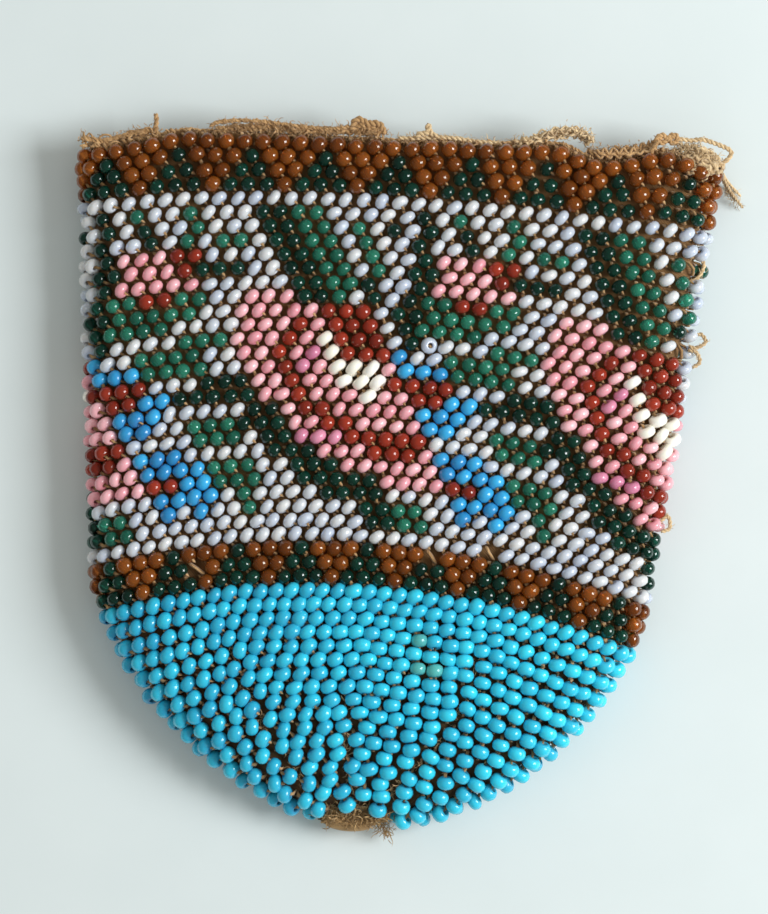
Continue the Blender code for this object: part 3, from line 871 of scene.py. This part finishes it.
# %% [markdown]
# ## The rounds of beads
#
# On the real bag each round is one string. A piece for each bead would be slow and a
# piece for all of them too large, so the beads are gathered into bands of rows, and each
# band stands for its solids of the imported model. Inside a band each colour of glass has
# a material slot of its own.


# %% Gather beads into bands
def bead_frame(bead):
    """A bead's own axes as columns: across, near to outward, and along the hole."""
    hole = bead["hole"]
    across = unit(np.cross(bead["out"], hole))
    return np.stack([across, np.cross(hole, across), hole], axis=1)


def bead_band(name, first, last, slot_name):
    """All the beads of some rows as one piece."""
    members = [bead for bead in beads if first <= bead["row"] <= last and "lost" not in bead]
    colours = sorted({bead["colour"] for bead in members})
    points, slots, tints_and_light, rims = [], [], [], []
    for bead in members:
        form, quads, rim = BEAD_FORMS[bead["colour"]]
        width, length = np.array(KINDS[bead["colour"]][:2]) * bead["size"] * MM
        form = form * [width, width, length]
        points.append(form @ bead_frame(bead).T + bead["centre"])
        slots.append(np.full(len(quads), colours.index(bead["colour"])))
        tints_and_light.append(np.full(len(form), bead["tint_and_light"]))
        rims.append(rim)
    starts = np.arange(len(members))[:, None, None] * len(form)
    quads = (quads[None] + starts).reshape(-1, 4)
    piece = new_piece(name, np.concatenate(points), quads, [glasses[c] for c in colours],
                      np.concatenate(slots),
                      {"tint_and_light": np.concatenate(tints_and_light), "rim": np.concatenate(rims)})
    settle(piece, slot_name, *[f"bead_row_{row + 1:02d}" for row in range(first, last + 1)])
    print(name, "beads:", len(members), "triangles:", 2 * len(quads))


# %% The bands from mouth to base
BANDS = (
    ("top_round_of_beads", 0, 0, "brown_beads"),
    ("upper_border_of_beads", 1, 3, "border_beads"),
    ("field_beads_upper", 4, 10, "field_beads"),
    ("field_beads_middle", 11, 19, "field_beads"),
    ("field_beads_lower", 20, 28, "field_beads"),
    ("lower_border_of_beads", 29, 31, "border_beads"),
    ("base_beads_outer", 32, 38, "turquoise_beads"),
    ("base_beads_inner", 39, 48, "turquoise_beads"),
)
for band in BANDS:
    bead_band(*band)

# %% [markdown]
# ## The thread in the beads
#
# Between the beads the ground thread shows: it leaves each hole, bends back to the
# fabric and goes on to the next stitch. The real thread is one long line. It could be
# drawn so, stitch by stitch, but one short thread through each bead, with both ends
# turned down into the ground, gives the same look from every side.

# %% Threads through the beads
THREAD_SIZE = 0.6 * MM
THREAD_UNEVEN = (0.85, 1.15)
THREAD_SWAY = 0.12 * MM
BEND_REACH, BEND_DEPTH = 0.18 * MM, 0.45 * MM
TUCK_REACH = 0.42 * MM
GROUND_DEPTH = BEAD_SIZE / 2 + CLEARANCE


def bead_thread(bead):
    """The path of the thread that holds one bead."""
    half = KINDS[bead["colour"]][1] / 2 * MM
    hole, out = bead["hole"], bead["out"]
    sway = unit(np.cross(out, hole)) * rng.normal(0, THREAD_SWAY)
    bend, tuck = (half + BEND_REACH, BEND_DEPTH), (half + TUCK_REACH, GROUND_DEPTH)
    ends = ((-1, *tuck), (-1, *bend), (0, 0.0, 0.0), (1, *bend), (1, *tuck))
    return [bead["centre"] + hole * way * far - out * deep + sway * (deep > 0)
            for way, far, deep in ends]


def thread_band(name, first, last):
    """The threads of some rows as one piece."""
    threads = Bundle()
    for bead in beads:
        if first <= bead["row"] <= last:
            size = THREAD_SIZE / 2 * rng.uniform(*THREAD_UNEVEN)
            threads.add(bead_thread(bead), size, rng.random(), 3)
    settle(threads.piece(name, tan_thread), "thread")
    print(name, "points:", threads.size)


thread_band("threads_of_the_body", 0, BODY_ROWS - 1)
thread_band("threads_of_the_base", BODY_ROWS, BODY_ROWS + BASE_ROWS - 1)

# %% [markdown]
# ## The knitted ground
#
# Behind the beads lies the fabric itself: one closed pouch of knitting. Its loops could
# be modelled thread by thread, but the beads hide nearly all of it. So its outer face is
# a grid with a few points to each stitch, raised into small V shapes, and its inner face
# is a plainer grid. The two meet at the rim of the mouth.

# %% The pouch
STITCH_POINTS = 3
ROW_POINTS = 3
RELIEF, BAR_LEAN, SIDE_FALL = 0.16 * MM, 0.9, 0.6
GROUND_THICKNESS = 0.5 * MM
EDGE_RISE = 0.7
LAST_ROW = BODY_ROWS + BASE_ROWS - 0.4
INNER_EVERY = 9
PAINTED_SHADE_IN_BASE = 0.3


def stitch_relief(columns, rows):
    """Height of the knitted V shapes at bead columns and rows."""
    half = np.abs((columns % 1) - 0.5) * 2
    bars = np.cos(2 * np.pi * (rows + half * BAR_LEAN))
    return RELIEF * (0.5 + 0.5 * bars) * (1 - SIDE_FALL * np.abs(half - 0.5) ** 2 * 4)


def ground_face(outward, columns, rows, relief):
    """Points of one face of the pouch as a grid of rows by stations."""
    grid = []
    for row in rows:
        level = np.full(len(columns), row)
        depth = -outward + relief * stitch_relief(columns - ROW_LEAN * row, level)
        grid.append(skin(level, stations_of(row, columns / BEADS_ROUND), depth))
    return np.array(grid)


def knitted_ground():
    """The pouch: an outer face with stitches and an inner face, joined at the rim."""
    columns = np.arange(BEADS_ROUND * STITCH_POINTS) / STITCH_POINTS
    rows = np.arange(-EDGE_RISE, LAST_ROW, 1 / ROW_POINTS)
    outer = ground_face(GROUND_DEPTH, columns, rows, 1.0)
    coarse = rows[::INNER_EVERY]
    inner = ground_face(GROUND_DEPTH + GROUND_THICKNESS, columns, coarse, 0.0)
    width = len(columns)
    points = np.concatenate([outer.reshape(-1, 3), inner.reshape(-1, 3)])
    start = len(rows) * width
    here, half = np.arange(width), np.arange(width // 2 - 1)
    after = (here + 1) % width
    last_outer, last_inner = start - width, start + (len(coarse) - 1) * width
    rim = np.stack([after, start + after, start + here, here], axis=1)
    closing = np.stack([half, width - 1 - half, width - 2 - half, half + 1], axis=1)
    quads = np.concatenate([
        grid_quads(len(rows), width, (0, 3, 2, 1)),
        start + grid_quads(len(coarse), width, (1, 2, 3, 0)),
        rim, last_outer + closing, last_inner + closing[:, ::-1]])
    # Painted shade: the ground is mixed darker in the base, where it lies in shade between
    # close-set beads.
    above_base = np.clip((points[:, 1] - bag_y - BASE_START_FOLD) / BASE_START_FOLD_DROP, 0, 1)
    shade = 0.5 * rng.random(len(points)) + 0.5 * above_base - PAINTED_SHADE_IN_BASE
    piece = new_piece("knitted_pouch", points, quads, [ground_thread], numbers={"shade": shade})
    settle(piece, "thread", "knitted_ground")
    print("ground points:", len(points))


knitted_ground()

# %% [markdown]
# ## The raw edge of the mouth
#
# Nothing closes this bag any more, and its mouth is a raw edge: the doubled cast-on
# thread, a folded strip, knots, and everywhere short frayed fibres. A particle system
# could grow the fibres, but they would not be part of the meshes. A few helpers draw
# real meshes instead: a smooth route through a few points, plies that wind round a route,
# fibres that curl off it, and crinkled yarns. They take their sizes in millimetres.

# %% Helpers for loose thread
PITCH_POINTS = 6
PLY_OFFSET, PLY_RADIUS, PLY_WAVER = 0.26, 0.3, 0.2
FUZZ_POINTS = 5
CURL_TURNS, LENGTHS, THICKNESSES = (0.6, 3.2), (0.4, 1.3), (0.6, 1.2)
LOWEST_FIBRE = 0.3 * MM
WAVE_STEPS, WAVE_START, WAVE_DEPTHS = (0.2, 1.0), (0, 6), (0.2, 0.45)


def smooth(points, count):
    """A smooth route through a few points, as a Catmull-Rom curve."""
    points = np.asarray(points, float)
    padded = np.vstack([2 * points[0] - points[1], points, 2 * points[-1] - points[-2]])
    spots = np.linspace(0, len(points) - 1.0001, count)
    leg = spots.astype(int)
    t = (spots - leg)[:, None]
    p0, p1, p2, p3 = (padded[leg + k] for k in range(4))
    return 0.5 * (2 * p1 + (p2 - p0) * t + (2 * p0 - 5 * p1 + 4 * p2 - p3) * t ** 2
                  + (3 * p1 - p0 - 3 * p2 + p3) * t ** 3)


def wind(bundle, route, size, pitch, plies=2, rough=0.1):
    """Plies that wind round a route like a spun thread of one size."""
    size, pitch = size * MM, pitch * MM
    lengths = run_length(route)
    count = max(8, int(lengths[-1] / pitch * PITCH_POINTS))
    spots = np.linspace(0, lengths[-1], count)
    route = np.stack([np.interp(spots, lengths, route[:, k]) for k in range(3)], axis=1)
    heading = unit(np.gradient(route, axis=0))
    first = unit(np.cross(heading, [0.12, 0.21, 0.97]))
    second = np.cross(heading, first)
    for ply in range(plies):
        turn = 2 * np.pi * (spots / pitch + ply / plies)[:, None]
        offset = (first * np.cos(turn) + second * np.sin(turn)) * size * PLY_OFFSET
        path = route + offset + rng.normal(0, rough * size * PLY_WAVER, route.shape)
        bundle.add(path, size * PLY_RADIUS, rng.random(), 5)


def fuzz(bundle, route, count, spread, length, lift, size):
    """Short curled fibres round a route; each turns steadily about an axis of its own."""
    spread, length, size = spread * MM, length * MM, size * MM
    for _ in range(count):
        start = route[rng.integers(len(route))] + rng.normal(0, 1, 3) * spread
        heading = unit(rng.normal(0, 1, 3) * [1, 1, 0.5] + lift)
        aside = unit(np.cross(heading, rng.normal(0, 1, 3)))
        turns = np.linspace(0, rng.uniform(*CURL_TURNS), FUZZ_POINTS)[:-1, None]
        steps = (heading * np.cos(turns) + aside * np.sin(turns)) * length
        steps = steps * rng.uniform(*LENGTHS) / (FUZZ_POINTS - 1)
        path = start + np.concatenate([np.zeros((1, 3)), np.cumsum(steps, axis=0)])
        path[:, 2] = np.maximum(path[:, 2], LOWEST_FIBRE)
        bundle.add(path, size * rng.uniform(*THICKNESSES) / 2, rng.random(), 3)


def crinkle(bundle, route, count, spread, size):
    """Unravelled yarns along a route that keep the waves of their old stitches."""
    spread, size = spread * MM, size * MM
    reach = len(route) // 2
    for _ in range(count):
        first = int(rng.integers(0, reach))
        path = route[first:first + reach] + rng.normal(0, 1, 3) * spread
        aside = unit(np.cross(np.gradient(path, axis=0), rng.normal(0, 1, 3)))
        bends = np.cumsum(rng.uniform(*WAVE_STEPS, reach)) + rng.uniform(*WAVE_START)
        path = path + aside * np.sin(bends)[:, None] * rng.uniform(*WAVE_DEPTHS) * MM
        bundle.add(path, size / 2, rng.random(), 4)


def trim(bundle, name, material, *nodes, slot_name="thread"):
    """Turn a bundle into a piece that rides with the bag."""
    settle(bundle.piece(name, material), slot_name, *nodes)
    print(name, "points:", bundle.size)


# %% Cast-on thread round the mouth
EDGE_DEPTH = GROUND_DEPTH + GROUND_THICKNESS / 2


def rim_route(first, last, count, rise, depth=EDGE_DEPTH):
    """A route along the rim of the mouth from one station to another."""
    stations = np.linspace(first, last, count)
    return skin(np.full(count, -rise), stations, np.full(count, -depth))


RIM_POINTS = 500
cast_on = Bundle()
around = rim_route(0.0, 2.0, RIM_POINTS, EDGE_RISE)
slow, fast = (np.sin(np.linspace(0, waves, RIM_POINTS)) for waves in (23, 61))
around[:, 1] += (fast * 0.12 + slow * 0.15 - 0.15) * MM
wind(cast_on, around, 0.62, 1.5, 2, 0.5)
wind(cast_on, rim_route(0.05, 1.95, 400, EDGE_RISE - 0.35), 0.55, 1.3, 2, 0.5)
trim(cast_on, "cast_on_thread", tan_thread, "cast_on_cord")

# %% Frayed fibres along the whole edge
UP = np.array([0.0, 0.8, 0.0])
ANY_WAY = np.zeros(3)
FIBRE = 0.09
edge_fibres = Bundle()
fuzz(edge_fibres, rim_route(0.0, 1.0, 300, 0.55), 420, 0.3, 1.0, UP * 0.2, FIBRE)
fuzz(edge_fibres, rim_route(1.0, 2.0, 300, 0.6), 240, 0.3, 1.0, UP * 0.2, FIBRE)
matted_face = rim_route(0.02, 0.98, 600, 0.42, GROUND_DEPTH - 0.1 * MM)
fuzz(edge_fibres, matted_face, 820, 0.3, 1.1, ANY_WAY, 0.24)
trim(edge_fibres, "frayed_edge", tan_thread)

# %% [markdown]
# ## Folded strip, knots and thread ends
#
# The strip is a fold of the knitting, and beside it stand knots and short ends. They could
# be sculpted, but thread looks like thread only when it is wound, so each piece is drawn
# in steps: a way of working, a route read off the photograph at the height of the front
# edge, and its numbers.

# %% Strip, stub and small lumps of the edge
EDGE_HEIGHT = float(rim_route(0.5, 0.5, 1, EDGE_RISE)[0, 2])


def edge_route(pixels, count, height):
    """A smooth route through pixels of the photograph, some mm above the edge."""
    return smooth([photo_point(x, y, EDGE_HEIGHT + height * MM) for x, y in pixels], count)


def draw(name, material, nodes, *steps):
    """One piece of the edge, from steps of (way, pixels, points, height, *numbers)."""
    bundle = Bundle()
    for way, pixels, count, height, *numbers in steps:
        way(bundle, edge_route(pixels, count, height), *numbers)
    trim(bundle, name, material, *nodes)


STRIP_TOP = ((210, 127), (218, 123), (240, 121), (270, 123), (300, 127), (330, 130), (350, 127))
STRIP_UNDER = ((214, 131), (240, 128), (275, 129), (310, 132), (345, 131), (380, 133))
draw("folded_strip", tan_thread, ["edge_strip"],
     (wind, STRIP_TOP, 60, 0.3, 0.62, 1.4, 3, 0.6),
     (wind, STRIP_UNDER, 60, -0.2, 1.1, 2.1, 3, 0.8),
     (fuzz, STRIP_UNDER, 60, 0.2, 560, 0.38, 1.2, UP * 0.2, 0.12))

KNOT_FOLD = ((352, 128), (355, 122), (360, 120), (368, 124), (376, 124), (382, 127), (383, 132))
KNOT_UNDER = ((350, 131), (360, 126), (370, 129), (378, 129), (386, 134))
draw("strip_knot", tan_thread, ["edge_strip_knot"],
     (wind, KNOT_FOLD, 40, 0.5, 1.0, 1.6),
     (wind, KNOT_UNDER, 40, 0.2, 1.0, 1.6),
     (fuzz, KNOT_UNDER, 40, 0.0, 110, 0.3, 0.9, UP * 0.3, 0.14))

LEFT_FOLD = ((82, 139), (90, 140), (102, 142), (118, 139), (134, 134), (150, 131), (158, 134))
LEFT_UNDER = ((84, 144), (100, 147), (118, 145), (136, 140), (156, 137), (176, 134))
STUB = ((158, 137), (156, 130), (157, 122), (156, 114))
draw("left_fold_and_end", tan_thread, ["left_thread_end"],
     (wind, LEFT_FOLD, 60, 0.2, 0.8, 1.6, 3, 0.5),
     (wind, LEFT_UNDER, 60, 0.0, 0.9, 1.7, 3, 1.5),
     (wind, STUB, 24, 0.3, 0.75, 1.3),
     (crinkle, LEFT_FOLD, 60, 0.1, 9, 0.25, 0.3),
     (fuzz, LEFT_FOLD, 60, -0.1, 260, 0.42, 0.8, UP * 0.1, 0.12))

NUB = ((416, 139), (420, 134), (427, 134), (428, 125), (431, 134), (438, 137))
NUB_LINE = ((398, 139), (415, 139), (435, 138), (455, 139), (475, 142), (500, 144))
LUMPS = ((512, 144), (530, 142), (546, 137), (560, 134), (574, 133), (584, 136), (589, 143))
draw("edge_lumps", fray_fibre, [],
     (wind, NUB, 30, 0.4, 0.85, 1.4),
     (wind, NUB_LINE, 50, 0.1, 0.75, 1.5),
     (wind, LUMPS, 50, 0.1, 0.9, 1.7, 3, 1.5),
     (crinkle, LUMPS, 80, 0.4, 14, 0.4, 0.3),
     (fuzz, NUB_LINE, 40, 0.0, 120, 0.3, 1.0, UP * 0.5, FIBRE),
     (fuzz, LUMPS, 40, 0.0, 260, 0.5, 1.0, UP * 0.1, 0.12))

# %% [markdown]
# ## The tangle at the right corner
#
# Two knots, a drooping loop, a mat of unravelled yarn and a loose end hang together here.
# One curve with a bevel would look like wire, so wound threads lie over a mat of fibres,
# and the loose end splits into strands that spread toward its tip. Small loops stand off
# the right fold too, some of them where a bead is lost.

# %% Knots, mat and loose end
RIDGE = ((588, 153), (604, 153), (620, 153), (636, 152), (650, 148), (658, 142))
KNOT_ONE = ((655, 145), (657, 138), (663, 136), (666, 141), (660, 144), (656, 140), (662, 138))
KNOT_TWO = ((667, 143), (669, 137), (675, 136), (677, 141), (671, 144), (668, 139), (674, 138))
DROP_LOOP = ((658, 142), (652, 150), (650, 158), (651, 168))
CORNER_LOOP = ((676, 139), (690, 141), (702, 140), (718, 145), (729, 150), (731, 155),
               (726, 161), (719, 166), (714, 173))
MAT = ((674, 151), (686, 149), (696, 154), (706, 157), (713, 166), (701, 166), (687, 159))
TAIL = ((714, 164), (720, 171), (725, 181), (731, 190), (739, 200))
draw("corner_knots", tan_thread, ["corner_knot_1", "corner_knot_2"],
     (wind, RIDGE, 50, 0.1, 0.9, 1.6, 3, 1.2),
     (crinkle, RIDGE, 90, 0.5, 14, 0.35, 0.42),
     (wind, KNOT_ONE, 40, 0.7, 0.8, 1.2),
     (wind, KNOT_TWO, 40, 0.7, 0.8, 1.2),
     (wind, DROP_LOOP, 24, 1.6, 0.6, 1.2),
     (fuzz, RIDGE, 50, 0.0, 240, 0.5, 1.0, UP * 0.1, 0.15))

MAT_POINTS, MAT_YARNS, MAT_DEPTH = 80, 9, 0.4 * MM
corner_mat = Bundle()
mat_route = edge_route(MAT, MAT_POINTS, 0.1)
fuzz(corner_mat, mat_route, 420, 0.6, 1.4, UP * 0.1, 0.14)
crinkle(corner_mat, mat_route, 26, 0.6, 0.5)
for _ in range(MAT_YARNS):
    first = int(rng.integers(0, MAT_POINTS // 2))
    shift = rng.normal(0, MAT_DEPTH, 3) - [0, 0, MAT_DEPTH]
    wind(corner_mat, mat_route[first:first + MAT_POINTS // 2] + shift, 1.2, 1.6, 3, 1.2)
trim(corner_mat, "corner_mat", fray_fibre)

STRANDS, TAIL_POINTS, HANG_POINTS = 5, 40, 60
tail = Bundle()
tail_route = edge_route(TAIL, TAIL_POINTS, 0.0)
tail_route[:, 2] += np.linspace(-1.5, -7.2, TAIL_POINTS) * MM
loop_route = edge_route(CORNER_LOOP, HANG_POINTS, 0.2)
loop_route[:, 2] -= np.linspace(0, 1.5, HANG_POINTS) * MM
wind(tail, loop_route, 0.72, 1.4)
for _ in range(STRANDS):
    splay = np.linspace(0, 1, TAIL_POINTS)[:, None] * rng.normal(0, 0.55 * MM, 3)
    wind(tail, tail_route + splay, 0.42, 1.1)
fuzz(tail, tail_route[24:], 60, 0.3, 1.4, np.array([0.5, -0.9, 0]), FIBRE)
trim(tail, "loose_thread_end", fray_fibre, "loose_tail")

# %% Thread loops that stand off the right fold
SIDE_LOOPS = (
    ((690, 258), (699, 256), (704, 266), (698, 278), (690, 282)),
    ((690, 340), (700, 334), (706, 342), (696, 348), (689, 346)),
    ((688, 350), (696, 352), (700, 362), (692, 368)),
    ((660, 522), (668, 516), (670, 528), (661, 532)),
)
side_loops = Bundle()
for loop in SIDE_LOOPS:
    route = smooth([photo_point(x, y, BAG_THICKNESS / 2 + MM) for x, y in loop], 30)
    wind(side_loops, route, 0.6, 1.2)
    fuzz(side_loops, route, 20, 0.2, 0.8, ANY_WAY, FIBRE)
trim(side_loops, "side_loops", fray_fibre)

# %% [markdown]
# ## The mend at the point of the base
#
# A brown patch of matted fibre closes the bottom. A lump with a fibre texture would look
# smooth at its outline, so many fibres cover it, all lying sideways across it, with a
# small tuft that splays out at its right. Short threads also show along the lines where
# the beads of the base part.

# %% Patch and tuft
PATCH_SEAM = ((326, 812), (345, 816), (365, 817), (384, 817))
PATCH_FIBRES = 620
CORE_LINES, CORE_POINTS, CORE_SIDES = 9, 11, 8


def matted_patch():
    """A flat lump with fibres over all of it, and more where it meets the ground."""
    low, high = (np.array(corner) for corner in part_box("base_patch"))
    centre, reach = (low + high) / 2, (high - low) / 2
    mat = Bundle()
    for _ in range(PATCH_FIBRES):
        turn, level = rng.uniform(0, 2 * np.pi), rng.uniform(-1, 1)
        ring = math.sqrt(1 - level ** 2)
        start = centre + reach * [ring * math.cos(turn), ring * math.sin(turn), level]
        heading = unit(np.array([1.0, rng.normal(0, 0.35), rng.normal(0, 0.15)]))
        steps = np.linspace(-0.5, 0.5, 5)[:, None]
        path = start + heading * steps * rng.uniform(1.2, 3.0) * MM
        path -= (path - centre) * steps ** 2 * 1.1
        path[:, 2] = np.maximum(path[:, 2], 0.15 * MM)
        mat.add(path, rng.uniform(0.06, 0.13) * MM, rng.random(), 3)
    for level in np.linspace(-0.8, 0.8, CORE_LINES):
        spots = np.linspace(-0.92, 0.92, CORE_POINTS)
        core = spots[:, None] * reach * [1 - 0.2 * level ** 2, 0, 0] + centre
        core[:, 1] += level * reach[1] * np.sqrt(1 - spots ** 2) * 0.9
        swell = np.sqrt((1 - spots ** 2) * (1 - level ** 2))
        mat.add(core, reach[2] * swell * 0.7 + 0.15 * MM, 0.3, CORE_SIDES)
    seam = smooth([photo_point(x, y, high[2] - 0.3 * MM) for x, y in PATCH_SEAM], 30)
    fuzz(mat, seam, 420, 0.55, 1.7, UP * 0.4, 0.2)
    trim(mat, "matted_patch", brown_fibre, "base_patch", slot_name="brown_fibre")


matted_patch()
tuft = Bundle()
TUFT = ((378, 823), (383, 828), (388, 834))
tuft_route = smooth([photo_point(x, y, 2.5 * MM) for x, y in TUFT], 20)
fuzz(tuft, tuft_route, 90, 0.35, 1.5, np.array([0.5, -0.8, 0]), 0.12)
trim(tuft, "frayed_tuft", brown_fibre, "base_tuft", slot_name="brown_fibre")

# %% Threads bared along the parted lines of the base
bared = Bundle()
front = [bead for bead in beads if bead["row"] >= BODY_ROWS and bead["out"][2] > 0]
spots = np.array([bead["centre"] for bead in front])
for line in PARTED_LINES:
    route = smooth([photo_point(x, y) for x, y in line], 50)
    for point in route:
        near = np.argsort(np.linalg.norm(spots[:, :2] - point[:2], axis=1))[:3]
        point[2] = spots[near, 2].mean() - 0.35 * MM
    fuzz(bared, route, 110, 0.3, 1.3, ANY_WAY, 0.16)
trim(bared, "bared_threads", tan_thread)

# %% [markdown]
# ## Floor, light and camera
#
# The bag lies on a plain pale floor. A sun would give hard shadows and pinpoint lights,
# so a large soft lamp from the right gives each bead its small bright window and throws
# the soft shadow to the left, and the pale world fills the rest. A studio's ceiling is
# dark above the camera, so the world is weaker in reflections: glass then keeps its deep
# colour. The camera looks straight down, turned a few degrees.

# %% Floor
FLOOR_REACH = 0.8


def pale_floor():
    """A large pale sheet under the bag."""
    corners = np.array([(-1, -1, 0), (1, -1, 0), (1, 1, 0), (-1, 1, 0)]) * FLOOR_REACH
    material = bpy.data.materials.new("pale floor")
    material.use_nodes = True
    tree = material.node_tree
    grain = mix_colour(tree, noise(tree, 60, 5), srgb(216, 227, 228), srgb(224, 234, 235))
    feed(tree, tree.nodes["Principled BSDF"], {"Base Color": grain, "Roughness": 0.85})
    new_piece("floor", corners, [(0, 1, 2, 3)], [material])


pale_floor()


# %% Lamp and world
def stand(name, data, place, turn):
    """Put a lamp or a camera in its place."""
    item = bpy.data.objects.new(name, data)
    item.location, item.rotation_euler = place, turn
    bpy.context.scene.collection.objects.link(item)
    return item


LAMP_PLACE = Vector((0.54, 0.08, 0.46))
WORLD_STRENGTH, DIMMER_REFLECTED = 0.61, 0.48
lamp_data = bpy.data.lights.new("window", "AREA")
lamp_data.shape = "RECTANGLE"
lamp_data.size, lamp_data.size_y = 0.32, 0.36
lamp_data.energy = 4.95
lamp_data.color = (0.97, 0.99, 1.0)
stand("window", lamp_data, LAMP_PLACE, (-LAMP_PLACE).to_track_quat("-Z", "Y").to_euler())

world = bpy.data.worlds.new("studio")
world.use_nodes = True
world_tree = world.node_tree
reflected = put(world_tree, "ShaderNodeLightPath").outputs["Is Glossy Ray"]
dimming = math_node(world_tree, "MULTIPLY", reflected, DIMMER_REFLECTED)
strength = math_node(world_tree, "SUBTRACT", WORLD_STRENGTH, dimming)
feed(world_tree, world_tree.nodes["Background"],
     {"Color": srgb(230, 228, 222), "Strength": strength})
bpy.context.scene.world = world
print("lamp from the bag, in m:", round(LAMP_PLACE.length, 2))

# %% Camera
CAMERA_DISTANCE = 0.8
SHARP_HEIGHT = 6.5 * MM
SENSOR = 0.024
camera_data = bpy.data.cameras.new("overhead")
camera_data.sensor_fit = "VERTICAL"
camera_data.sensor_height = SENSOR / MM
view_height = FRAME_PIXELS[1] * PIXEL
camera_data.lens = SENSOR / MM * (CAMERA_DISTANCE - SHARP_HEIGHT) / view_height
over = photo_point(FRAME_PIXELS[0] / 2, FRAME_PIXELS[1] / 2, CAMERA_DISTANCE)
camera = stand("overhead", camera_data, over, (0, 0, BAG_ROLL))
bpy.context.scene.camera = camera
bpy.context.scene.view_settings.view_transform = "Standard"
print("camera over, in mm:", [round(value / MM, 1) for value in camera.location])
